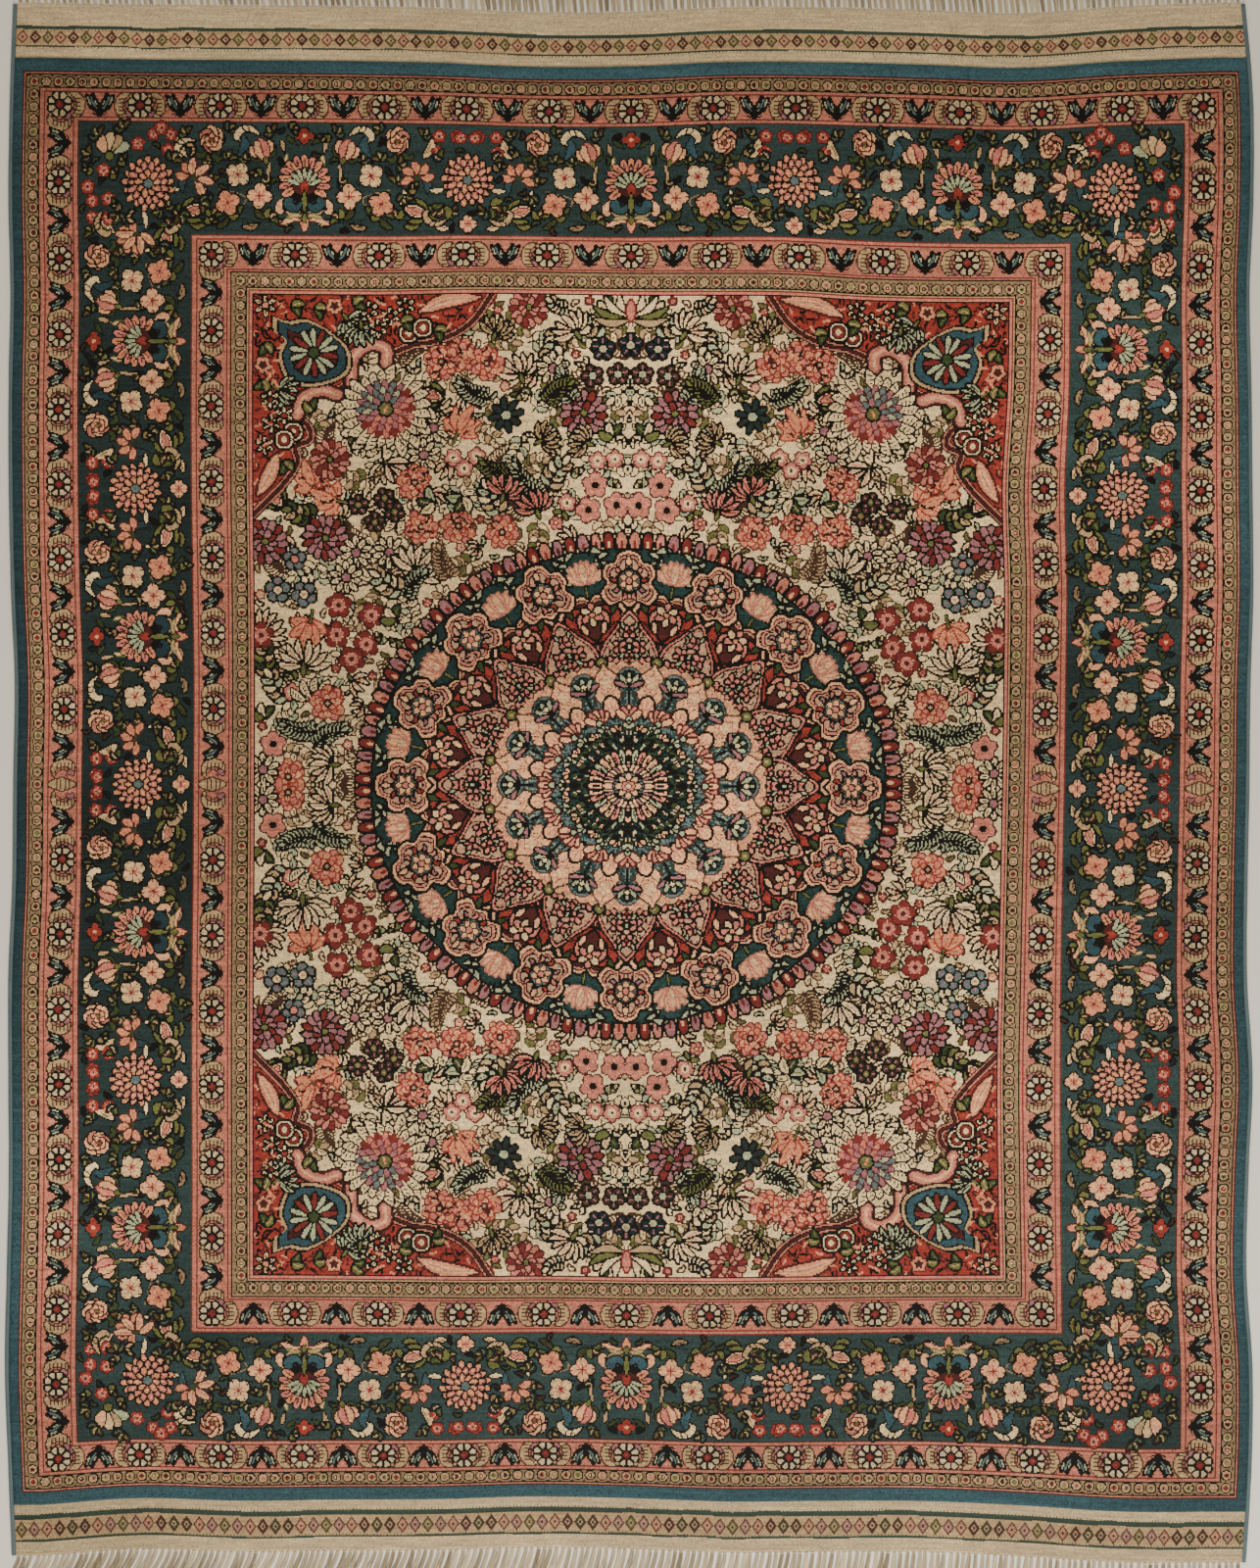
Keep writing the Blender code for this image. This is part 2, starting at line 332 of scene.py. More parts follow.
    # A closed shape through a few points.
    def patch(self, points, yarn, rim=2.2, rimYarn="ink"):
        path = flow(list(points) + [points[0]], 8)
        found = self.knotsNear(path, rim + 4)
        if found is None:
            return self
        area, x, y = found
        placed = path @ self.axes.T
        nextOne = np.roll(placed, -1, axis=0)
        rise = (placed[:, 1] > y[..., None]) != (nextOne[:, 1] > y[..., None])
        run = nextOne[:, 1] - placed[:, 1]
        run = np.where(np.abs(run) < 1e-9, 1e-9, run)
        crossing = placed[:, 0] + (y[..., None] - placed[:, 1]) * (nextOne[:, 0] - placed[:, 0]) / run
        inside = (rise & (x[..., None] < crossing)).sum(axis=-1) % 2 == 1
        away = np.hypot(x[..., None] - placed[:, 0], y[..., None] - placed[:, 1]).min(axis=-1)
        self.lay(area, np.where(inside, -1.0, away), yarn, rim, rimYarn)
        return self


wholeChart = Motif(0, 0)


# Lays motifs, one a row: what draws it, where it stands, its turn, and the rest that it takes.
def layRows(spot, rows, stretch=1.0):
    for draw, u, v, turn, *values in rows:
        draw(spot.part(u * stretch, v, turn), *values)


# A closed outline: from its top down one side to its bottom, and back up the mirrored side.
def mirroredOutline(top, side, bottom):
    return (top, *side, bottom, *((-u, v) for u, v in side[::-1]))


# A round rosette of the guard stripes: eight pale petals, each with a dark slit, about a dark eye.
def rosette(spot, radius=23.5):
    spot.bloom(8, radius, "wheat", depth=0.2, rim=2.8, vein=5.0, veinFrom=0.2, start=22.5)
    spot.fan(range(0, 360, 45), 0, ([[0, radius * 0.58], [0, radius * 0.8]], 1.4, "ink", "stem"))
    spot.bloom(4, radius * 0.32, "crimson", depth=0.2, rim=3.0)
    spot.disc(radius * 0.12, "red")


# A dark winged iris of the guard stripes, like a butterfly; its tip points inwards.
def iris(spot):
    for wing in spot.mirrored():
        wing.patch(((1, -21), (8, -13), (19, -6), (24, 4), (28, 19), (20, 15), (14, 21), (9, 12),
                    (3, 3)), "ink", rim=1.8)
        wing.line([[18, 14], [14, 3], [7, -6]], 1.7, "slate", "stem")
        wing.line([[24, 13], [20, 2]], 1.5, "celadon", "stem")
        wing.line([[10, 8], [7, 1]], 1.4, "celadon", "stem")
        wing.line([[2, -17], [9, -19], [14, -16]], 1.3, "ink", "stem")
    spot.line([[0, 3], [0, -25]], 1.7, "ink", "tail")
    spot.line([[0, 21], [0, 12]], 2.4, "rose", "drop")


# Two serrated crescents that lean on a rosette and hold an iris between them.
def crescents(spot, reach):
    for leaf in spot.mirrored():
        leaf.line([[reach - 20, 21], [reach - 36, 16], [reach - 43, 0], [reach - 38, -16],
                   [reach - 27, -22]], 7.2, "sand", "leaf", 2.0, "bark")
        for step in range(5):
            high = 13 - 7.5 * step
            leaf.line([[reach - 30, high], [reach - 42, high - 2]], 1.3, "bark", "stem")
        leaf.line([[reach - 22, 12], [reach - 29, 3], [reach - 27, -8]], 1.6, "bark", "stem")
        leaf.line([[reach - 19, -8], [reach - 25, -14], [reach - 19, -21]], 4.0, "mauve", "drop",
                  1.6, "maroon")
        leaf.line([[reach - 15, 19], [reach - 21, 17]], 2.4, "sand", "drop", 1.6, "bark")


# A many-petalled chrysanthemum: long petals in two rings, over the tips of a third.
def chrysanthemum(spot, radius=52.0, outer="apricot", inner="rose", heart="slate"):
    spot.disc(radius * 0.8, "maroon")
    for petals, near, far, half, yarn in ((17, 0.62, 0.93, 0.1, outer), (15, 0.34, 0.72, 0.1, inner),
                                          (9, 0.16, 0.44, 0.1, outer)):
        for step in range(petals):
            petal = spot.part(0, 0, 360 * (step + 0.5 * (petals == 15)) / petals)
            reach = radius * (far - 0.06 * (step % 2))
            petal.line([[0, radius * near], [1, reach]], radius * half, yarn, "petal", 2.2)
            petal.line([[0, reach - radius * 0.14], [0, reach]], 1.8, "peach")
    spot.bloom(5, radius * 0.17, heart, depth=0.25, rim=2.0, start=20)


# A fan-shaped palmette standing on a heart of two dark volutes and two pale leaves.
def palmette(spot, petals=13):
    spot.pair(([[31, -54], [47, -64], [50, -52], [40, -38]], 6.2, "peach", "drop", 1.6),
              ([[6, -62], [26, -66], [41, -52]], 4.6, "sand", "leaf", 1.6),
              ([[2, -40], [17, -56], [32, -48], [26, -33], [13, -30]], 8.0, "edgeBlue", "leaf", 2.2),
              ([[12, -44], [22, -46]], 1.5, "ink", "stem"),
              ([[29, 12], [36, 30], [34, 48]], 3.2, "cream", "drop", 1.4, "olive"))
    spot.part(0, -4).disc(42, "ink")
    for step in range(petals):
        turn = -124 + 248 * step / (petals - 1)
        petal = spot.part(0, -4, turn)
        petal.line([[0, 17], [0, 46]], 6.8, "rose" if step % 2 else "apricot", "petal", 1.9)
        petal.line([[0, 30], [0, 42]], 1.3, "maroon", "stem")
    spot.part(0, -4).bloom(1, 26, "maroon", depth=0, rim=1.2)
    spot.fan((-68, -45, -22, 0, 22, 45, 68), -14, ([[0, 8], [0, 32]], 3.7, "celadon", "petal", 1.6))
    spot.line([[0, -2], [0, -22]], 7.6, "red", "drop", 2.0, "maroon")
    spot.line([[0, -22], [0, -64]], 4.5, "olive", "leaf", 1.6)


# A lily that hangs below a palmette.
def lily(spot):
    spot.pair(([[2, 4], [24, 6], [48, -4]], 4.2, "peach", "drop", 1.6, "maroon"),
              ([[6, 12], [20, 14], [34, 8]], 3.4, "sand", "leaf", 1.4, "olive"))
    spot.line([[0, 14], [0, -16]], 7.0, "apricot", "leaf", 2.0, "maroon")
    spot.line([[0, 16], [0, 0]], 4.4, "olive", "leaf", 1.2)


# A soft blossom of four notched petals, parted by red veins.
def blossom(spot, yarn="peach", radius=24.0):
    spot.bloom(4, radius, yarn, depth=0.4, rim=2.6, start=45, vein=2.0, veinYarn="bark", veinFrom=0.45)
    for turn in range(0, 360, 90):
        petal = spot.part(0, 0, turn)
        petal.line([[0, 2], [0, radius * 0.62]], 1.5, "salmon", "stem")
        petal = spot.part(0, 0, turn + 45)
        petal.line([[0, radius * 0.84], [0, radius * 1.1]], 1.5, "bark", "tail")
        petal.line([[0, 4], [0, radius * 0.4]], 1.1, "red", "stem")
    spot.disc(radius * 0.13, "crimson")


# A small red star with a pale eye.
def star(spot, radius=12.0, yarn="red", eye="rose"):
    spot.bloom(5, radius, yarn, depth=0.34, rim=1.6, rimYarn="maroon", vein=1.6, veinFrom=0.35,
               veinYarn="peach")
    spot.bloom(5, radius * 0.55, eye, depth=0.3, rim=0)
    spot.disc(radius * 0.2, "maroon")


# An open rose: ragged petals with dark folds inside, and two sepals.
def rose(spot, radius=27.0, yarn="peach", fold="salmon"):
    spot.pair(([[4, -radius * 0.7], [16, -radius - 7], [26, -radius - 2]], 4.6, "moss", "leaf", 1.6))
    for turn, far, yarnHere in ((-70, 0.62, fold), (-30, 0.7, yarn), (15, 0.74, yarn), (60, 0.66, fold),
                                (120, 0.5, yarn), (180, 0.52, fold), (235, 0.5, yarn)):
        petal = spot.part(0, 0, turn)
        petal.line([[-5, radius * far * 0.7], [0, radius * far], [6, radius * far * 0.8]],
                   radius * 0.33, yarnHere, "stem", 2.2)
    spot.disc(radius * 0.55, yarn)
    for turn in (10, 80, 150, 225, 300):
        spot.part(0, 0, turn).line([[-8, 10], [0, 15], [8, 9]], 1.5, "maroon", "stem")
        spot.part(0, 0, turn + 30).line([[-4, 4], [2, 9]], 1.4, "crimson", "stem")
    spot.disc(radius * 0.12, "olive", rim=1.0, rimYarn="maroon")


# A half-open tulip seen from the side.
def tulip(spot, yarn="peach", fold="rose"):
    spot.pair(([[2, -14], [18, -10], [27, 2]], 4.4, "moss", "leaf", 1.6),
              ([[2, -12], [14, 0], [19, 16]], 7.6, yarn, "drop", 2.2))
    spot.line([[-3, -14], [-8, 4], [-3, 21]], 7.0, fold, "petal", 1.8, "maroon")
    spot.line([[4, -14], [8, 4], [5, 18]], 6.4, yarn, "petal", 1.8, "maroon")
    spot.line([[0, -6], [0, 12]], 2.0, "crimson")
    spot.line([[0, -12], [0, -24]], 4.4, "olive", "leaf", 1.4)


# A spray of small leaves round a point.
def leafSpray(spot, turns, reach=26.0, yarn="peach", rimYarn="bark"):
    for number, turn in enumerate(turns):
        part = spot.part(0, 0, turn)
        part.line([[0, 8], [3, 18], [0, reach]], 6.8, yarn, "drop", 1.9, rimYarn)
        part.line([[1, 14], [1, reach - 6]], 1.3, "salmon", "stem")
        if number % 2:
            part.line([[0, 2], [0, 8]], 2.2, "moss", "stem")


# A few dark leaves with pale ribs, spread round a point.
def leafCluster(spot, turns=(-70, -20, 30, 80), reach=26.0, yarns=("moss", "bark", "olive")):
    for number, turn in enumerate(turns):
        leaf = spot.part(0, 0, turn)
        leaf.line([[0, 3], [4, reach * 0.5], [0, reach]], reach * 0.24, yarns[number % len(yarns)],
                  "leaf", 2.0)
        leaf.line([[1, reach * 0.25], [3, reach * 0.55], [1, reach * 0.8]], 1.3,
                  "sand" if number % 2 else "olive", "stem")


# A pointed bud with a pale edge, a coloured heart and two sepals.
def bud(spot, heart="rose", edge="ivory"):
    spot.pair(([[0, -22], [16, -8], [23, 10]], 4.8, "olive", "leaf", 2.2))
    spot.line([[0, -22], [0, 27]], 12.5, "ink", "leaf", 2.4)
    spot.line([[0, -20], [0, 24]], 10.5, edge)
    spot.line([[0, -14], [0, 19]], 6.6, heart, "leaf", 1.4, "crimson")
    spot.line([[0, -8], [0, 12]], 1.5, "olive")


# A pale curling leaf with a dark edge.
def curl(spot, yarn="ivory", width=6.5, rimYarn="ink"):
    spot.line([[-22, -8], [-8, 6], [10, 7], [22, -4], [17, -13]], width, yarn, "leaf",
              2.2, rimYarn)
    spot.line([[-2, 4], [5, 14]], width * 0.6, yarn, "leaf", 1.6, rimYarn)


# The climbing stem of the main border, with its leaves, from one big flower to the next.
def borderStem(spot, length):
    spot.line([[8, -66], [length * 0.25, -84], [length * 0.5, -72], [length * 0.75, -88],
               [length * 0.94, -66]], 1.6, "ink", "stem")
    spot.line([[length * 0.42, -66], [length * 0.36, -36], [length * 0.52, -20]], 1.5, "tan", "stem")
    for share, v, turn, yarn in ((0.13, -82, 80, "sand"), (0.27, -66, 40, "moss"),
                                 (0.33, -90, 100, "tan"), (0.66, -88, 80, "olive"),
                                 (0.84, -90, 115, "cream"), (0.50, -84, 130, "moss"),
                                 (0.90, -60, 40, "celadon"), (0.60, -34, 10, "ivory")):
        leaf = spot.part(length * share, v, turn)
        leaf.line([[0, -15], [4, 0], [0, 15]], 5.2, yarn, "leaf", 2.2)
        leaf.line([[1, -8], [2, 8]], 1.2, "bark", "stem")
    layRows(spot, [(leafCluster, share, v, turn, (-50, 0, 55), 21)
                   for share, v, turn in ((0.22, -78, -60), (0.40, -72, 30), (0.56, -76, -20),
                                          (0.76, -70, 60))], length)


borderPlan = {               # the main border's middle line and its repeats, in millimetres
    "top": 1197.0,
    "side": 978.0,
    "across": 321.0,
    "along": 293.0,
}


# Half of the main border's repeat: from a palmette at 0 to a chrysanthemum at length.
def borderHalf(spot, length):
    stretch = length / borderPlan["across"]
    borderStem(spot, length)
    for u, v, turn, size in ((123, 58, 165, 1.25), (118, 8, 30, 0.9), (238, -8, -20, 0.8)):
        leaf = spot.part(u * stretch, v, turn, size)
        leaf.line([[-4, -22], [5, 0], [-2, 22]], 8, "edgeBlue", "leaf", 1.6)
    layRows(spot, [(leafCluster, *place, (-45, 10, 60), 19, ("bark", "moss", "navy"))
                   for place in ((66, -6, 60), (150, 36, -30), (182, 30, 70), (196, -28, 160),
                                 (112, 32, 0), (60, 88, 30), (150, 92, -60), (232, 84, 20),
                                 (284, -60, 100), (180, -8, 0))], stretch)
    layRows(spot, (
        (tulip, 82, 53, 20),
        (blossom, 131, 8, 10, "cream"),
        (blossom, 88, -33, 40),
        (blossom, 151, -47, 70, "apricot"),
        (curl, 112, 90, 10),
        (Motif.line, 68, 10, 0, [[0, -22], [3, 0], [0, 22]], 2.8, "sand", "drop", 1.4),
        (rose, 183, 74, -10),
        (leafSpray, 222, 4, 0, (-110, -62, -14, 34, 82), 31, "apricot", "maroon"),
        (bud, 221, -62, -72),
        (curl, 256, -78, 200, "sand", 5),
        (Motif.line, 243, 62, 25, [[0, -20], [5, 0], [0, 20]], 7.5, "cream", "leaf", 2.2),
        (Motif.line, 243, 62, 25, [[0, -12], [2, 10]], 1.6, "olive"),
        (star, 265, 86, 0, 13),
        (star, 263, 54, 0, 13),
        (star, 300, 86, 0, 13),
        (Motif.line, 262, -18, 80, [[0, -15], [3, 0], [0, 15]], 4.4, "ivory", "leaf", 1.8),
    ), stretch)


# A palmette with its lily, and half of the border's repeat on both sides.
def borderPalmette(spot, length):
    for half in spot.mirrored():
        borderHalf(half, length)
    palmette(spot)
    lily(spot.part(0, -84))
    spot.part(0, 84).bloom(4, 19, "red", depth=0.5, rim=2.0, squash=0.8)
    spot.part(0, 84).disc(4, "peach")
    for side in (-1, 1):
        spot.part(24 * side, 74, 55 * side).line([[0, -12], [0, 13]], 4.0, "moss", "drop", 1.6)
        spot.part(41 * side, 62, 15 * side).line([[0, -12], [0, 13]], 4.2, "sand", "drop", 1.6)


# A chrysanthemum with leaves, a blossom and two stars about it.
def borderChrysanthemum(spot):
    for side in (-1, 1):
        leafCluster(spot.part(44 * side, -50, 130 * side), (-40, 10, 60), 26)
        leafCluster(spot.part(50 * side, 40, 50 * side), (-50, 10), 20, ("moss", "navy"))
    chrysanthemum(spot)
    blossom(spot.part(0, -87, 45), radius=17)
    for side in (-1, 1):
        star(spot.part(14 * side, 84), 12)


# The stripe of linked rings: dark rings with quiet fillings, and small knots between them.
def ringChain(place, count, pitch, fills):
    for step in range(count):
        ring = place(step * pitch)
        for side in (-1, 1):
            ring.line([[pitch / 2 - 2, 11 * side], [pitch / 2 + 2, 11 * side]], 1.5, "bark", "stem")
        ring.disc(10.8, "ink")
        ring.disc(8.2, "sand")
        ring.disc(4.6, fills[step % len(fills)])
        ring.disc(1.5, "ink" if step % 3 else "cream")


# Nested frames of plain yarn, from the outer edge inwards. The motifs are laid on them.
frames = (                   # half width and half length in millimetres, yarn
    (1223.7, 1428.0, "edgeBlue"),
    (1206.5, 1403.5, "maroon"),
    (1203.8, 1400.8, "salmon"),
    (1200.0, 1398.0, "ink"),
    (1197.4, 1395.4, "tan"),
    (1171.6, 1372.0, "ink"),
    (1169.0, 1369.5, "salmon"),
    (1161.5, 1363.5, "crimson"),
    (1158.8, 1361.0, "salmon"),
    (1103.0, 1315.5, "crimson"),
    (1100.4, 1313.0, "salmon"),
    (1094.0, 1308.0, "maroon"),
    (1090.6, 1305.4, "teal"),
    (866.0, 1088.6, "crimson"),
    (863.0, 1086.5, "salmon"),
    (857.5, 1081.5, "crimson"),
    (855.0, 1079.0, "salmon"),
    (796.0, 1023.0, "crimson"),
    (793.2, 1021.0, "salmon"),
    (788.5, 1017.0, "ink"),
    (785.8, 1014.4, "tan"),
    (757.0, 988.0, "ink"),
    (754.4, 985.4, "sand"),
    (752.0, 982.0, "crimson"),
    (749.4, 979.6, "rose"),
    (745.0, 975.2, "ink"),
    (742.6, 972.5, "ivory"),
)


fieldHalf = frames[-1][:2]
chains = ((1183.0, 1382.0), (767.5, 998.5))      # half width and half length of their middle lines
chainPitch = 24.2
guards = (                   # the same, and how many rosettes along the half width and half length
    (1131.0, 1338.5, 7, 9),
    (825.5, 1050.0, 5, 7),
)


# Each frame fills its rectangle from the middle out, the widest first.
def layFrames():
    for halfWidth, halfLength, yarn in frames:
        rows = int(round(halfLength / knotAlong))
        columns = int(round(halfWidth / knotAcross))
        chart[:rows, :columns] = yarnNumber[yarn]


# A guard stripe round the quarter: rosettes and irises in turn, facing in from each edge.
def layGuard(halfWidth, halfLength, acrossUnits, alongUnits):
    pitch = halfWidth / acrossUnits
    for step in range(acrossUnits):
        crescents(Motif((step + 0.5) * pitch, halfLength), pitch / 2)
        iris(Motif((step + 0.5) * pitch, halfLength))
        rosette(Motif(step * pitch, halfLength))
    pitch = halfLength / alongUnits
    for step in range(alongUnits):
        crescents(Motif(halfWidth, (step + 0.5) * pitch, 90), pitch / 2)
        iris(Motif(halfWidth, (step + 0.5) * pitch, 90))
        if step:
            rosette(Motif(halfWidth, step * pitch, 90))
    rosette(Motif(halfWidth, halfLength))
    spot = Motif(halfWidth, 0, 90)       # a pale clasp at the middle of each side
    spot.line([[0, -22], [-4, 0], [0, 22]], 8.0, "sand", "petal", 2.0, "bark")
    for v in (-14, -5, 4, 13):
        spot.line([[-9, v], [4, v]], 1.4, "bark", "stem")


# The two stripes of linked rings, along the top and up the side. Their pitch is the length over
# the nearest whole number of rings.
def layChains():
    fills = ("crimson", "tan", "salmon", "maroon", "olive", "crimson", "tan")
    for halfWidth, halfLength in chains:
        for edge, length in (("top", halfWidth), ("side", halfLength)):
            count = int(round(length / chainPitch))
            pitch = length / count
            if edge == "top":
                ringChain(lambda at: Motif(at, halfLength), count + 1, pitch, fills)
            else:
                ringChain(lambda at: Motif(halfWidth, at, 90), count, pitch, fills)


# The main border: palmettes and chrysanthemums in turn along the top and up the side.
def layMainBorder():
    for step in (0, 2):
        borderPalmette(Motif(step * borderPlan["across"], borderPlan["top"]), borderPlan["across"])
    for step in (1, 3):
        borderPalmette(Motif(borderPlan["side"], step * borderPlan["along"], 90), borderPlan["along"])
    borderChrysanthemum(Motif(borderPlan["across"], borderPlan["top"]))
    for step in (0, 2):
        borderChrysanthemum(Motif(borderPlan["side"], step * borderPlan["along"], 90))


# The main border's corner: a chrysanthemum among stars, pale leaves and sprays.
def layCorner():
    chrysanthemum(Motif(952, 1187), 53)
    for x, y in ((926, 1295), (973, 1264), (913, 1252), (1041, 1212), (1073, 1180), (1032, 1157)):
        star(Motif(x, y), 14)
    for turn, yarn in ((-62, "celadon"), (-32, "sand"), (-5, "cream"), (25, "peach")):
        Motif(1030, 1240, turn).line([[0, 2], [5, 22], [0, 44]], 10, yarn, "drop", 1.8)
    Motif(1030, 1240).disc(8, "olive", rim=2)
    layRows(wholeChart, (
        (leafSpray, 862, 1196, -80, (-70, -20, 30, 80), 40, "peach", "maroon"),
        (leafSpray, 975, 1093, 170, (-75, -30, 20, 65), 42, "peach", "maroon"),
        (curl, 880, 1262, 40, "ivory", 5.5),
        (curl, 1046, 1108, 110, "sand", 6),
    ))
    layRows(wholeChart, [(leafCluster, *place, (-50, 0, 55), 22, ("bark", "moss", "navy"))
                         for place in ((890, 1130, 200), (1010, 1130, 150), (905, 1230, 320),
                                       (1050, 1276, 30), (1000, 1290, 20), (1066, 1240, 60),
                                       (930, 1070, 200), (850, 1150, 250))])


medallion = {                # half axes in millimetres; it has sixteen parts
    "parts": 16,
    "rim": (524.0, 483.0),
    "sea": (508.0, 467.0),
    "tulips": (466.0, 428.0),
    "shields": (447.0, 410.0),
    "cells": (364.0, 330.0),
    "arches": (318.0, 286.0),
    "peach": (263.0, 236.0),
    "mushrooms": (222.0, 198.0),
    "crowns": (162.0, 143.0),
    "disc": (132.0, 121.0),
    "eye": (73.0, 66.0),
}


# A place on one of the medallion's rings, facing outwards; step counts its sixteenths.
def ringSpot(ring, step, size=1.0, shift=0.0):
    across, along = medallion[ring]
    angle = 2 * np.pi * step / medallion["parts"]
    x = (across + shift) * np.sin(angle)
    y = (along + shift) * np.cos(angle)
    facing = np.degrees(np.arctan2(x / across ** 2, y / along ** 2))
    return Motif(x, y, facing, size)


# The quarter's places on a ring, with so many to a sixteenth: on the axes, or half a step off them.
def ringSpots(ring, every=1, offset=0.0, size=1.0, shift=0.0):
    count = medallion["parts"] // 4 * every + (offset == 0.0 or every > 1)
    return [ringSpot(ring, (step + offset) / every, size, shift) for step in range(count)]


# A ring filled with one yarn, or a little more than it.
def ellipse(ring, yarn, rim=0.0, wider=0):
    across, along = (size + wider for size in medallion[ring])
    wholeChart.disc(across, yarn, rim=rim, squash=along / across)


# A tulip head of the sea-green ring, striped along its petals.
def seaTulip(spot):
    spot.fan((-84, -56, 56, 84), -10, ([[0, 6], [4, 22], [0, 42]], 4.8, "celadon", "drop", 1.6),
                                      ([[1, 12], [2, 30]], 1.2, "ink", "stem"))
    spot.line([[0, -34], [0, -62]], 2.0, "olive", "stem", 1.2)
    spot.fan((-66, 66, -38, 38, -16, 16, 0), -22, ([[0, 0], [0, 43]], 7.5, "peach", "leaf", 1.8, "salmon"))
    spot.fan((-50, -18, 18, 50), -22, ([[0, 4], [0, 30]], 1.6, "salmon", "tail"))
    spot.fan((-12, 12), -24, ([[0, 2], [0, 24]], 4, "cream", "leaf", 1.0, "salmon"))


# A shield of the sea-green ring: a domed and shouldered ribbon about a grey flower.
def shield(spot):
    outline = mirroredOutline((0, 66), ((22, 58), (32, 38), (52, 32), (60, 10), (50, -10), (64, -34),
                                        (46, -58), (20, -50)), (0, -62))
    spot.nested(outline, ((1.0, "peach"), (0.90, "ink"), (0.85, "rose"), (0.77, "ink"), (0.71, "blush")))
    for step in range(9):
        yarn = ("mauve", "rose", "red")[step % 3]
        spot.part(0, -6, 40 * step).line([[-4, 26], [3, 34], [0, 42]], 3.0, yarn, "leaf", 1.8)
    spot.part(0, -4).bloom(6, 26, "slate", depth=0.24, rim=2.4)
    spot.fan(range(0, 360, 60), -4, ([[0, 5], [0, 18]], 5.6, "peach", "petal", 1.4, "bark"))
    spot.part(0, -4).bloom(5, 7, "rose", depth=0.2, rim=1.4)
    spot.part(0, 40).line([[0, -8], [0, 10]], 5, "peach", "leaf", 1.8)


# A red cell between two shields, drawn in to a point towards the middle.
def redCell(spot):
    outline = mirroredOutline((0, 36), ((14, 46), (42, 38), (62, 4), (48, -34), (20, -56)), (0, -84))
    spot.nested(outline, ((1.04, "peach"), (0.95, "ink"), (0.89, "salmon"), (0.81, "ink"), (0.76, "maroon")))
    spot.fan((-20, 0, 20), -78, ([[0, 8], [0, 40]], 1.8, "rose", "stem"))
    for lobe in spot.mirrored():
        lobe.line([[2, -38], [22, -22], [24, 6], [16, 20]], 5.0, "rose", "leaf", 2.0)
        lobe.line([[6, -36], [36, -18], [40, 14], [22, 26]], 8.5, "red", "leaf", 2.4)
        lobe.line([[12, -28], [34, -14], [36, 8]], 2.4, "crimson")
        for v in (-24, -8, 8):
            lobe.part(36, v, 60).line([[0, -10], [0, 10]], 1.5, "ink")
        lobe.line([[6, -50], [22, -36], [40, -22]], 3.0, "salmon", "leaf", 1.8)
        lobe.part(42, 22, 30).line([[0, -11], [0, 11]], 4.4, "moss", "leaf", 1.8)
        lobe.part(18, -12, 20).line([[0, -10], [0, 10]], 4.4, "peach", "leaf", 1.8)
    for step in range(6):
        yarn = "cream" if step % 2 else "rose"
        spot.part(0, 14, 60 * step).line([[0, 5], [0, 17]], 5.4, yarn, "petal", 2.0)
    spot.part(0, 14).disc(4.0, "apricot", rim=1.6)


# A pointed arch of the lattice inside the red cells, with little starry flowers.
def latticeArch(spot):
    outline = ((-56, -62), (-52, -12), (-28, 24), (0, 60), (28, 24), (52, -12), (56, -62))
    for size, yarn in ((1.0, "rose"), (0.92, "ink"), (0.85, "blush")):
        spot.part(0, -4 * (1 - size), size=size).patch(outline, yarn, rim=2.4 if size == 1.0 else 0)
    for u, v in ((0, 20), (-19, -10), (19, -10), (0, -33), (-31, -42), (31, -42)):
        spot.part(u, v).fan(range(45, 360, 90), 0, ([[0, 3], [0, 11]], 4.0, "rose", "petal", 2.2))
        spot.part(u, v).disc(2.4, "crimson")
    for u, v, turn in ((13, 32, 20), (-13, 32, -20), (0, -9, 0), (-15, -28, 40), (15, -28, -40)):
        spot.part(u, v, turn).line([[0, -6], [0, 6]], 2.2, "celadon", "leaf", 1.8)


# Short strokes laid all over an area of one yarn, as fine shading: so many are tried in a box from
# the middle to a far corner. They point any way, or at an angle to the line from the middle.
def stipple(groundYarn, strokeYarn, far, count, seed, length, width, heading=None, near=(0, 0)):
    chance = np.random.default_rng(seed)
    ground = yarnNumber[groundYarn]
    for _ in range(count):
        x, y = chance.uniform(near, far)
        turn = chance.uniform(0, 360)
        if chart[int(y / knotAlong), int(x / knotAcross)] != ground:
            continue
        if heading is not None:
            turn = np.degrees(np.arctan2(x, y)) + heading
        Motif(x, y, turn).line([[0, -length / 2], [length * 0.15, 0], [0, length / 2]], width, strokeYarn,
                               "stem")


# The outermost ring: a rim of petals.
def layRim():
    ellipse("rim", "ink", wider=19)
    ellipse("rim", "cream", wider=16)
    for step, petal in enumerate(ringSpots("rim", 8, 0.5)):
        yarn = ("salmon", "mauve", "crimson", "mauve", "rose", "crimson")[step * 5 % 6]
        petal.line([[0, -17], [0, 12]], 9.6 - step % 3 * 0.8, yarn, "petal", 2.2)
        petal.line([[0, -12], [0, 4]], 3.6, ("crimson", "peach", "maroon")[step % 3])


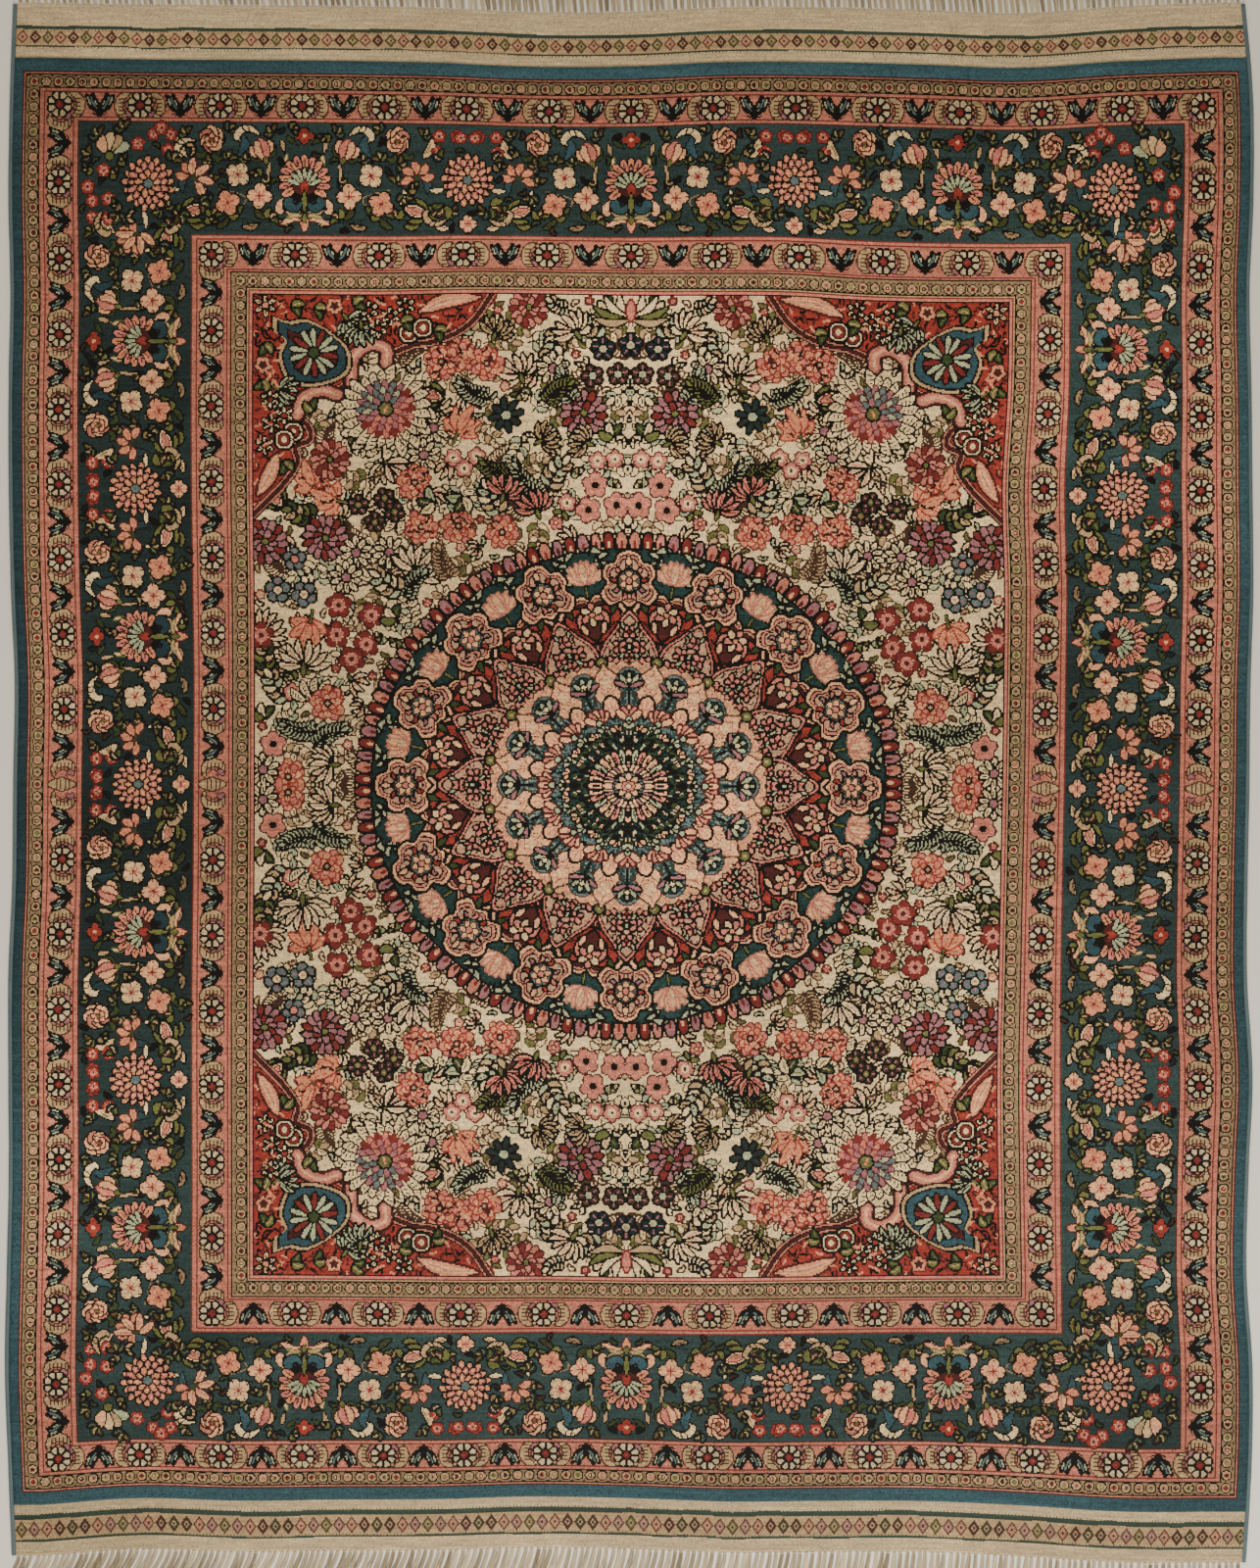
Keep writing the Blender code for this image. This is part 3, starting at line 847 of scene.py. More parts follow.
# The sea-green ring's ground, and its tulips among leaves.
def laySea():
    ellipse("sea", "sea", rim=2.6)
    stipple("sea", "deepSea", (510, 470), 2600, 31, 9, 2.0)
    for step in range(medallion["parts"] // 4):
        for side in (-1, 1):
            for far, out, turn in ((0.22, 27, 60), (0.30, -22, 20), (0.14, 40, 100), (0.27, 6, 140),
                                   (0.2, -6, 30)):
                leaf = ringSpot("tulips", step + 0.5 + side * far, shift=out)
                leaf.part(0, 0, turn * side).line([[0, -14], [4, 0], [0, 14]], 4.6, "celadon", "leaf", 2.2)
                leaf.part(4, 0, turn * side + 70).line([[0, -11], [3, 0], [0, 11]], 3.2, "ink")
        seaTulip(ringSpot("tulips", step + 0.5, 0.92, 2))


# The red ring and the lattice inside it, with the shields that reach out over the sea-green ring.
def layShieldsAndCells():
    ellipse("arches", "maroon", wider=52)
    stipple("maroon", "ink", (372, 340), 1700, 33, 14, 2.2, 0)
    stipple("maroon", "rose", (372, 340), 1300, 34, 14, 1.8, 0)
    ellipse("arches", "blush")
    stipple("blush", "ink", (340, 310), 900, 35, 12, 2.0, 40)
    stipple("blush", "rose", (340, 310), 700, 36, 10, 2.0, -40)
    for spot in ringSpots("cells", offset=0.5, size=1.08):
        redCell(spot)
    for spot in ringSpots("shields", size=0.86):
        shield(spot)
    for spot in ringSpots("arches"):
        latticeArch(spot)
    stipple("blush", "ink", (350, 320), 700, 37, 9, 1.6, 0)
    stipple("blush", "salmon", (350, 320), 500, 38, 9, 1.6, 60)


# The peach band, with a scalloped edge.
def layPeachBand():
    for radius, yarn in ((17, "bark"), (14.5, "peach")):
        for scallop in ringSpots("peach", 4, 0.5, shift=-4):
            scallop.disc(radius, yarn)
    ellipse("peach", "peach")
    for step, line in enumerate(ringSpots("peach", 8, 0.5, shift=-2)):
        line.line([[-8, -2], [-2, 6], [6, -3]], 1.2, "salmon", "stem")
        line.line([[-4, -16], [2, -9], [5, -18]], 1.2, "salmon" if step % 2 else "bark", "stem")
    for spot in ringSpots("arches", offset=0.5, shift=-38):
        spot.disc(9, "olive", rim=2.4)
        spot.disc(3.5, "sand")
    stipple("peach", "apricot", (272, 250), 1800, 8, 7, 1.2, 0)
    stipple("peach", "sand", (272, 250), 1500, 9, 6, 1.2, 90)


# A grey-blue head on a stem, like a mushroom, of the next ring.
def mushroom(head):
    head.line([[0, 0], [0, -60]], 11.0, "slate", "stem", 1.4, "bark")
    head.disc(25, "slate", rim=1.4, rimYarn="bark")
    head.disc(21, "ink")
    head.disc(18, "deepSea")
    for turn in (-70, -36, 0, 36, 70):
        head.part(0, -14, turn).line([[0, 4], [0, 27]], 3.8, "celadon" if turn % 36 == 0 else "mauve",
                                     "petal", 1.8)
    head.bloom(4, 5, "ivory", depth=0.4, rim=1.2)
    head.line([[0, -16], [0, -56]], 3.4, "ink")
    for side in (-1, 1):
        head.line([[5 * side, -24], [9 * side, -44]], 1.3, "celadon")


# The peach lobes between the mushrooms, and the mushrooms.
def layMushrooms():
    ellipse("mushrooms", "slate")
    for lobe in ringSpots("mushrooms", offset=0.5, shift=10):
        lobe.line([[0, 34], [0, -34]], 27, "peach", "drop", 1.8, "bark")
        for turn in (-34, -17, 0, 17, 34):
            lobe.part(0, -36, turn).line([[0, 8], [0, 60]], 1.3, "salmon" if turn % 34 else "bark", "stem")
        lobe.bloom(5, 13, "cream", depth=0.3, rim=1.4, rimYarn="salmon", vein=1.4, veinYarn="apricot")
    for head in ringSpots("mushrooms", shift=12):
        mushroom(head)


# The slate ring: peach petals with a crown of smaller ones between each two.
def layCrowns():
    ellipse("crowns", "slate")
    stipple("slate", "sea", (230, 210), 1600, 12, 7, 1.8, 0)
    stipple("slate", "ink", (200, 180), 500, 14, 6, 1.4, 30)
    for petal in ringSpots("crowns", offset=0.5, shift=20):
        petal.line([[0, -24], [0, 10]], 14.0, "peach", "drop", 2.4)
        petal.fan((-26, 0, 26), -20, ([[0, 8], [0, 28]], 1.4, "salmon", "stem"))
    for crown in ringSpots("crowns", shift=2):
        for turn in (-50, -25, 0, 25, 50):
            crown.part(0, -16, turn).line([[0, 2], [0, 27]], 5.2, "rose" if turn % 50 else "peach", "petal",
                                          2.0, "maroon")
        crown.part(0, -12).disc(5, "celadon", rim=1.6)


# The dark disc with its ring of sprays, and the eye of petals in the middle.
def layEye():
    ellipse("disc", "deepSea")
    for yarn, count, seed, length, width, heading in (
            ("ink", 520, 13, 8, 1.8, 20), ("celadon", 150, 15, 6, 1.4, 10),
            ("peach", 110, 16, 6, 1.4, -10), ("moss", 300, 17, 7, 1.8, 50)):
        stipple("deepSea", yarn, (150, 130), count, seed, length, width, heading)
    for step in range(medallion["parts"] // 2 + 1):
        spray = ringSpot("disc", step / 2, shift=2 - 6 * (step % 2))
        spray.fan((-50, 0, 50), -8, ([[0, 2], [0, 13]], 3.2, ("celadon", "peach")[step % 2], "leaf", 1.6))
    across, along = medallion["eye"]
    wholeChart.disc(across + 4, "ink", squash=along / across)
    for step, petal in enumerate(ringSpots("eye", 2, shift=-6)):
        yarn = ("peach", "celadon", "rose", "peach")[step % 4]
        petal.line([[0, -20], [0, 8]], 5.6, yarn, "petal", 2.0)
        petal.line([[0, -10], [0, 4]], 1.6, "ink", "stem")
    for step, petal in enumerate(ringSpots("eye", 2, shift=-34)):
        petal.line([[0, -14], [0, 8]], 4.6, ("mauve", "cream", "peach")[step % 3], "petal", 1.6)
    wholeChart.bloom(8, 30, "slate", depth=0.16, rim=2.0, vein=1.8, veinFrom=0.4, squash=along / across)
    wholeChart.fan(range(0, 360, 45), 0, ([[0, 8], [0, 22]], 4.6, "peach", "petal", 1.6))
    wholeChart.bloom(8, 12, "rose", depth=0.25, rim=1.6, squash=along / across)
    wholeChart.bloom(4, 5, "cream", depth=0.2, rim=1.2)


# The medallion, from its rim to its eye.
def layMedallion():
    for layPart in (layRim, laySea, layShieldsAndCells, layPeachBand, layMushrooms, layCrowns, layEye):
        layPart()


# A peony of loose petals in two or three yarns, drawn with fine red edges.
def peony(spot, radius=34.0, yarns=("rose", "apricot", "peach"), petals=9):
    for ring, (share, turnBy) in enumerate(((1.0, 0), (0.74, 17), (0.46, 5))):
        count = petals - 2 * ring
        for step in range(count):
            petal = spot.part(0, 0, turnBy + 360 * step / count + 9 * (step % 2))
            far = radius * share * (1 - 0.1 * (step % 3 == 1))
            petal.line([[0, far * 0.35], [0, far * 0.8]], far * 0.26, yarns[(ring + step % 2) % len(yarns)],
                       "petal", 1.5, "red" if ring else "crimson")
            petal.line([[0, far * 0.6], [0, far * 0.85]], 1.1, "salmon", "stem")
    spot.disc(radius * 0.15, "crimson", rim=1.4)
    spot.disc(radius * 0.08, "celadon")


# A daisy with narrow petals in dark outline.
def daisy(spot, radius=30.0, yarn="ivory", eye="rose", petals=10, second=None):
    for step in range(petals):
        petal = spot.part(0, 0, 360 * step / petals)
        petal.line([[0, radius * 0.2], [1, radius * (0.9 - 0.08 * (step % 2))]], radius * 0.15,
                   second if second and step % 2 else yarn, "petal", 1.9)
        petal.line([[0, radius * 0.5], [0, radius * 0.72]], 1.1, "ink" if yarn == "ivory" else "maroon",
                   "stem")
    spot.bloom(5, radius * 0.26, eye, depth=0.2, rim=1.8)


# A chrysanthemum: long narrow petals in two rings, drawn in dark outline.
def ringFlower(spot, radius=44.0, yarns=("mauve", "rose", "crimson"), rimYarn="ink", heart="olive"):
    for count, near, far, half in ((15, 0.42, 0.86, 0.145), (9, 0.12, 0.42, 0.12)):
        for step in range(count):
            petal = spot.part(0, 0, 360 * (step + 0.5 * (count == 9)) / count)
            petal.line([[0, radius * near], [0, radius * far]], radius * half, yarns[step % len(yarns)],
                       "petal", 1.7, rimYarn)
    spot.disc(radius * 0.12, heart, rim=1.6)


# A great flower, cool-coloured above and red below, over a fringe of hatched pale leaves.
def greatFlower(spot):
    for turn in range(-165, 180, 15):
        feather(spot.part(0, 0, turn), 88 if 20 < abs(turn) < 150 else 76)
    for ring, (reach, wide, count) in enumerate(((54, 5.4, 20), (41, 5.0, 16), (28, 4.6, 12))):
        for step in range(count):
            turn = 360 * (step + 0.5 * ring) / count
            low = 100 < turn % 360 < 290
            warm = (("crimson", "rose"), ("mauve", "rose"), ("mauve", "salmon"))[ring]
            cool = (("slate", "mauve"), ("slate", "celadon"), ("mauve", "slate"))[ring]
            yarn = (warm if low else cool)[step % 2]
            petal = spot.part(0, 0, turn)
            petal.line([[0, reach * 0.5], [0, reach]], wide, yarn, "petal", 1.2,
                       "crimson" if low else "maroon")
    spot.bloom(6, 13, "olive", depth=0.25, rim=2.2)
    spot.disc(4, "red")


# One hatched pale leaf, its tip out along v.
def feather(spot, far=44.0, yarn="ivory", hatch="ink"):
    spot.line([[0, far * 0.45], [far * 0.06, far * 0.75], [0, far]], far * 0.11, yarn, "leaf", 1.6,
              hatch)
    for share in (0.6, 0.7, 0.8, 0.9):
        spot.line([[far * 0.02, far * share], [far * 0.1, far * (share - 0.04)]], 1.1, hatch, "stem")


# A lily seen from the side: long petals that spread from one point.
def sideLily(spot, reach=48.0, yarn="ivory", heart="rose", turns=(-68, -46, -24, 0, 24, 46, 68)):
    for turn in turns:
        petal = spot.part(0, -reach * 0.4, turn)
        bend = 4 if turn > 0 else -4
        petal.line([[0, 4], [bend, reach * 0.5], [0, reach * (1 - 0.08 * (turn % 4 == 0))]],
                   reach * 0.105, yarn, "leaf", 2.0)
        petal.line([[bend * 0.4, reach * 0.28], [bend * 0.8, reach * 0.72]], 1.3, heart, "stem")
    spot.line([[0, -reach * 0.3], [0, -reach * 0.75]], reach * 0.07, "olive", "leaf", 1.6)


# Two rows of hatched leaves on a bent stem.
def frond(spot, yarn="olive", rimYarn="ink", length=60.0):
    stem = flow([[0, -length / 2], [length * 0.12, 0], [0, length / 2]], 5)
    spot.line(stem, 1.3, rimYarn, "stem")
    for number, (u, v) in enumerate(stem[1:]):
        for side in (-1, 1):
            leaf = spot.part(u, v, side * (64 - 5 * number))
            leaf.line([[0, 2], [3, 11], [0, 22]], 3.2, yarn, "drop", 1.7, rimYarn)
            leaf.line([[1, 8], [2, 16]], 1.1, rimYarn, "stem")
    spot.part(0, length / 2).line([[0, 0], [0, 16]], 3.6, yarn, "drop", 1.7, rimYarn)


# A broad leaf of three pointed lobes with red ribs.
def lobedLeaf(spot, yarn="apricot", rib="crimson", far=46.0):
    for turn, share in ((-75, 0.7), (75, 0.7), (-36, 0.92), (36, 0.92), (0, 1.1)):
        leaf = spot.part(0, -far * 0.3, turn)
        leaf.line([[0, 0], [2, far * share * 0.5], [0, far * share]], far * 0.17, yarn, "leaf", 1.6,
                  rib)
    for turn, share in ((-75, 0.5), (75, 0.5), (-36, 0.7), (36, 0.7), (0, 0.85)):
        spot.part(0, -far * 0.3, turn).line([[0, 2], [0, far * share]], 1.1, rib, "stem")
    spot.line([[0, -far * 0.3], [-3, -far * 0.75]], 1.8, "olive", "stem", 1.2)


# A dark blossom of round petals with a pale heart.
def darkBlossom(spot, radius=22.0, yarn="bark", eye="ivory", petals=5):
    for step in range(petals):
        petal = spot.part(0, 0, 360 * step / petals)
        petal.part(0, radius * 0.58).disc(radius * 0.36, yarn, rim=2.0)
        petal.line([[0, radius * 0.5], [0, radius * 0.8]], 1.4, "mauve", "stem")
    spot.disc(radius * 0.3, eye, rim=1.8)
    spot.disc(radius * 0.12, "rose")


# An outlined twig: a bent stem with pointed leaves on both sides, pale inside.
def twig(spot, length=64.0, yarns=("ivory", "celadon", "sand"), rimYarn="ink", wide=5.4, rim=2.2):
    stem = flow([[0, -length / 2], [length * 0.1, 0], [-length * 0.05, length / 2]], 3)
    spot.line(stem, 1.4, rimYarn, "stem")
    for number, (u, v) in enumerate(stem[1:-1]):
        for side in (-1, 1):
            leaf = spot.part(u, v, side * (56 - 4 * number))
            far = length * (0.38 - 0.015 * number)
            leaf.line([[0, 2], [side * 3, far * 0.5], [0, far]], wide, yarns[(number + side) % len(yarns)],
                      "leaf", rim, rimYarn)
            if number % 2:
                leaf.line([[side, far * 0.3], [side * 2, far * 0.7]], 1.1, rimYarn, "stem")
    spot.part(0, length * 0.42).line([[0, 0], [0, length * 0.3]], wide, yarns[0], "leaf", rim,
                                     rimYarn)


# A small outlined flower on a stalk with two leaves.
def stalkFlower(spot, yarn="rose", radius=12.0):
    spot.line([[0, -26], [3, -10], [0, 4]], 1.3, "moss", "stem")
    for side in (-1, 1):
        spot.part(1, -16, side * 60).line([[0, 2], [0, 18]], 4.0, "olive", "leaf", 1.7)
    spot.part(0, 10).bloom(5, radius, yarn, depth=0.32, rim=2.0, rimYarn="maroon", vein=1.3,
                           veinYarn="crimson")
    spot.part(0, 10).disc(radius * 0.25, "cream", rim=1.2, rimYarn="crimson")


# A single leaf, for the smallest gaps.
def oneLeaf(spot, yarn, rimYarn="ink", length=15.0):
    spot.line([[0, -length / 2], [length * 0.16, 0], [0, length / 2]], length * 0.2, yarn, "leaf", 1.8,
              rimYarn)
    spot.line([[0, -length * 0.2], [0, length * 0.2]], 1.0, rimYarn, "stem")


# A curling leaf at half size.
def smallCurl(spot, yarn):
    curl(spot.part(0, 0, size=0.5), yarn, 7)


# A rose-red star with a dark eye.
def inkStar(spot):
    star(spot, 25, "rose", "salmon")
    spot.disc(7, "ink")


# A fan of five hatched leaves.
def feathers(spot):
    for turn in (-50, -25, 0, 25, 50):
        feather(spot.part(0, 0, turn), 62)


fieldFlowers = {             # what draws each, and what that takes
    "peony": (peony,),
    "coralPeony": (peony, 36, ("apricot", "rose", "peach")),
    "redPeony": (ringFlower, 40, ("salmon", "crimson", "rose"), "maroon"),
    "ivoryDaisy": (daisy, 32, "ivory", "mauve"),
    "mauveDaisy": (ringFlower, 46, ("mauve", "crimson", "mauve")),
    "seaDaisy": (daisy, 34, "deepSea", "celadon", 8),
    "chrysanthemum": (ringFlower, 47, ("mauve", "mauve", "crimson")),
    "lily": (sideLily,),
    "wideLily": (sideLily, 58, "ivory", "mauve", (-84, -60, -36, -12, 12, 36, 60, 84)),
    "roseLily": (sideLily, 46, "rose", "crimson"),
    "coralLily": (lobedLeaf, "apricot", "red", 52),
    "sandLily": (sideLily, 40, "sand", "bark"),
    "frond": (frond,),
    "paleFrond": (frond, "celadon"),
    "sandFrond": (frond, "sand", "bark"),
    "darkFrond": (frond, "celadon", "ink", 66),
    "brownBlossom": (darkBlossom, 20, "bark", "olive"),
    "slateBlossom": (darkBlossom, 23, "slate", "rose"),
    "seaBlossom": (darkBlossom, 24, "navy", "celadon"),
    "duskBlossom": (darkBlossom, 22, "bark", "celadon"),
    "paleBlossom": (darkBlossom, 26, "slate", "ivory"),
    "crimsonStar": (star, 25, "crimson", "rose"),
    "roseStar": (inkStar,),
    "smallRose": (star, 17, "rose", "ivory"),
    "bud": (bud,),
    "feathers": (feathers,),
    "mossLeaf": (leafCluster, (-60, -10, 40), 30, ("moss", "ivory", "olive")),
    "darkLeaf": (leafCluster, (-40, 20, 70), 32, ("celadon", "moss", "ivory")),
    "twig": (twig, 70),
    "oliveTwig": (twig, 66, ("olive", "sand", "moss")),
}

fieldPlan = (                # flower, x, y and turn: millimetres from the middle, and degrees
    ("lily", 222, 828, 20), ("twig", 152, 880, 160), ("twig", 72, 916, 80),
    ("redPeony", 200, 946, 0), ("chrysanthemum", 90, 738, 0), ("seaDaisy", 243, 732, 10),
    ("coralPeony", 336, 850, 15), ("peony", 282, 834, 40), ("coralPeony", 372, 838, 70),
    ("seaBlossom", 54, 866, 0), ("seaBlossom", 0, 874, 0), ("duskBlossom", 74, 812, 20),
    ("duskBlossom", 24, 816, 0), ("lily", 120, 912, 40), ("sandLily", 262, 906, -20),
    ("mossLeaf", 40, 940, 60), ("ivoryDaisy", 152, 826, 0), ("paleFrond", 120, 784, 20),
    ("ivoryDaisy", 386, 708, 20), ("ivoryDaisy", 404, 654, 0),
    ("lily", 472, 624, 200), ("coralLily", 330, 712, -30), ("smallRose", 300, 650, 0),
    ("smallRose", 346, 648, 30), ("smallRose", 324, 626, 0), ("sandLily", 160, 690, -60),
    ("frond", 146, 772, -50), ("roseStar", 64, 596, 0), ("roseStar", 78, 546, 20),
    ("roseStar", 22, 556, 0), ("smallRose", 60, 644, 0), ("smallRose", 26, 648, 0),
    ("mossLeaf", 30, 690, 30), ("sandLily", 96, 684, 70), ("coralLily", 628, 606, 20),
    ("coralLily", 592, 570, 70), ("mossLeaf", 690, 545, 0), ("oliveTwig", 640, 540, 80),
    ("feathers", 540, 628, 20), ("redPeony", 590, 646, -30), ("feathers", 450, 560, 200),
    ("brownBlossom", 534, 556, 0), ("brownBlossom", 482, 570, 20), ("brownBlossom", 502, 522, 0),
    ("brownBlossom", 462, 542, 40), ("coralPeony", 422, 600, 0), ("coralPeony", 336, 512, 0),
    ("peony", 410, 512, 30), ("darkLeaf", 384, 560, 60), ("darkLeaf", 326, 570, 130),
    ("twig", 262, 560, 30), ("frond", 250, 622, 70), ("darkFrond", 196, 600, 40),
    ("roseLily", 240, 590, -20), ("roseLily", 186, 560, 20), ("twig", 142, 610, -30),
    ("mauveDaisy", 720, 482, 0), ("mauveDaisy", 600, 490, 10), ("slateBlossom", 662, 448, 0),
    ("ivoryDaisy", 540, 462, 0), ("ivoryDaisy", 474, 462, 30), ("wideLily", 414, 444, -30),
    ("sandFrond", 362, 434, 20), ("paleFrond", 430, 392, -40), ("paleBlossom", 696, 386, 0),
    ("paleBlossom", 644, 378, 30), ("crimsonStar", 576, 357, 0), ("crimsonStar", 511, 337, 20),
    ("crimsonStar", 580, 298, 0), ("crimsonStar", 521, 280, 10), ("crimsonStar", 550, 250, 30),
    ("mossLeaf", 462, 328, 50), ("coralLily", 638, 308, 160), ("wideLily", 646, 258, 0),
    ("lily", 710, 312, -60), ("oliveTwig", 716, 240, 10), ("twig", 690, 190, 40),
    ("smallRose", 668, 184, 0), ("feathers", 622, 150, 0), ("coralPeony", 598, 162, 0),
    ("darkFrond", 646, 112, 80), ("darkFrond", 600, 90, -60), ("roseStar", 706, 80, 0),
    ("lily", 608, 40, 90), ("coralPeony", 676, 16, 0), ("mossLeaf", 724, 130, 20),
    ("ivoryDaisy", 726, 30, 0), ("peony", 250, 500, 20), ("twig", 470, 400, 60),
    ("ivoryDaisy", 560, 412, 0), ("bud", 700, 570, 40), ("crimsonStar", 730, 296, 0),
    ("paleFrond", 300, 776, 60), ("bud", 390, 772, 70), ("smallRose", 120, 560, 0),
)

groundFill = {               # what fills the ground between the flowers, the widest first
    "seed": 5,
    "twigSeed": 45,
    "twigPitch": 62.0,       # millimetres between the field's twigs
    "twigsWithin": (742.0, 972.0),
    "twigMargin": 30.0,
    "near": (2, 2),          # the first and the last millimetres that are filled
    "fieldFar": (738, 968),
    "borderFar": (1088, 1303),
    "rounds": (              # millimetres of bare ground that it needs, share that may be taken, tries
        (28.0, 0.14, 2400),
        (18.0, 0.16, 3200),
        (10.5, 0.16, 2600),
        (6.0, 0.12, 1800),
    ),
}


# Lays a motif given as what draws it and what that takes.
def layMotif(spot, motif):
    draw, *values = motif
    draw(spot, *values)


# Outlined twigs and leaves all over the field; the flowers are laid on them.
def layUndergrowth():
    chance = np.random.default_rng(groundFill["twigSeed"])
    width, length = groundFill["twigsWithin"]
    pitch, margin = groundFill["twigPitch"], groundFill["twigMargin"]
    kinds = (("ivory", "celadon", "ivory"), ("ivory", "sand", "ivory"), ("ivory", "ivory", "celadon"),
             ("sand", "ivory", "olive"))
    for row in range(int(length / pitch) + 1):
        for column in range(int(width / pitch) + 1):
            x = (column + 0.5 * (row % 2) + chance.uniform(-0.3, 0.3)) * pitch
            y = (row + chance.uniform(-0.3, 0.3)) * pitch
            kind = chance.integers(6)
            spot = Motif(x, y, chance.uniform(0, 360))
            if x > width - margin or y > length - margin:
                continue
            if kind < 4:
                twig(spot, 62, kinds[kind], ("ink", "bark", "ink", "bark")[kind], 5.4, 1.35)
            elif kind == 4:
                frond(spot, "ivory", "bark", 50)
            else:
                sideLily(spot, 34, "ivory", "apricot", (-60, -30, 0, 30, 60))


# The field's flowers over its undergrowth, and the bowl of leaves at the end.
def layField():
    layUndergrowth()
    for flower, x, y, turn in fieldPlan:
        layMotif(Motif(x, y, turn), fieldFlowers[flower])
    bowl = Motif(0, 946)         # the flat bowl of leaves over the middle of either end
    for side in (-1, 1):
        for turn, yarn, far in ((24, "ivory", 56), (48, "ivory", 70), (70, "olive", 78), (88, "sand", 70)):
            leaf = bowl.part(0, -24, side * turn)
            leaf.line([[0, 6], [side * 7, far * 0.55], [0, far]], 6.5, yarn, "leaf", 1.8)
    bowl.part(0, -24).line([[0, 0], [0, 40]], 7.5, "rose", "leaf", 2.0, "crimson")


# Fills bare ground of one yarn between the middle and a far corner: a place is taken where little
# but ground lies within reach, by the widest filling that still fits.
def fillGround(far, groundYarn, fillings, seedStep=0):
    chance = np.random.default_rng(groundFill["seed"] + seedStep)
    ground = yarnNumber[groundYarn]
    for (reach, taken, tries), choices in zip(groundFill["rounds"], fillings):
        if not choices:
            continue
        for _ in range(tries):
            x, y = chance.uniform(groundFill["near"], far)
            turn, kind = chance.uniform(0, 360), chance.integers(len(choices))
            column, row = int(x / knotAcross), int(y / knotAlong)
            wide, tall = int(reach / knotAcross), int(reach / knotAlong)
            block = chart[max(row - tall, 0):row + tall + 1, max(column - wide, 0):column + wide + 1]
            if (block[::2, ::2] != ground).mean() > taken:
                continue
            layMotif(Motif(x, y, turn), choices[kind])


fieldFillings = (            # for each of the rounds above, what fills; drawn as the flowers are
    ((twig, 56), (twig, 58, ("sand", "ivory", "olive"), "bark"), (sideLily, 34, "ivory", "salmon"),
     (peony, 25, ("rose", "apricot", "peach"), 7), (frond, "celadon", "ink", 44),
     (frond, "olive", "bark", 44)),
    ((twig, 38, ("ivory", "celadon", "cream"), "ink", 4.2), (stalkFlower, "rose"),
     (leafCluster, (-60, -15, 35, 85), 20, ("moss", "olive", "ivory")), (stalkFlower, "apricot", 11),
     (sideLily, 24, "ivory", "salmon", (-50, -17, 17, 50))),
    ((leafCluster, (-50, 0, 50), 15, ("ivory", "olive", "celadon")), (star, 9, "rose", "cream"),
     (smallCurl, "ivory"), (star, 8, "crimson", "rose"),
     (leafCluster, (-50, 0, 50), 15, ("moss", "ivory", "olive"))),
    ((oneLeaf, "ivory"), (oneLeaf, "olive", "bark"), (oneLeaf, "celadon"), (oneLeaf, "sand", "bark"),
     (oneLeaf, "ivory", "bark")),
)
redFillings = (
    (),
    ((daisy, 15, "ivory", "red", 6), (leafCluster, (-60, 0, 60), 19, ("moss", "olive")),
     (stalkFlower, "peach", 11)),
    ((star, 10, "ivory", "rose"), (leafCluster, (-50, 40), 14, ("moss", "maroon")),
     (star, 9, "rose", "ivory")),
    ((oneLeaf, "maroon"), (oneLeaf, "moss"), (oneLeaf, "ivory", "maroon", 11), (oneLeaf, "crimson")),
)
tealFillings = (
    (),
    ((leafCluster, (-60, -10, 40, 90), 22, ("moss", "bark", "navy")),
     (twig, 38, ("moss", "sand", "olive"), "ink", 4.2)),
    ((leafCluster, (-50, 0, 50), 15, ("moss", "navy", "tan")), (smallCurl, "sand"),
     (leafCluster, (-50, 0, 50), 15, ("bark", "moss", "olive"))),
    ((oneLeaf, "navy"), (oneLeaf, "moss"), (oneLeaf, "bark"), (oneLeaf, "ink")),
)


spandrelEdge = (             # inwards from the field's corner: along x, along y
    (0, 0), (240, 0), (470, 0), (434, 52), (395, 80), (350, 95), (317, 99), (268, 115), (239, 100),
    (206, 115), (192, 165), (167, 189), (138, 186), (103, 198), (84, 237), (110, 262), (112, 288),
    (84, 303), (88, 334), (58, 379), (21, 416), (0, 437), (0, 220),
)


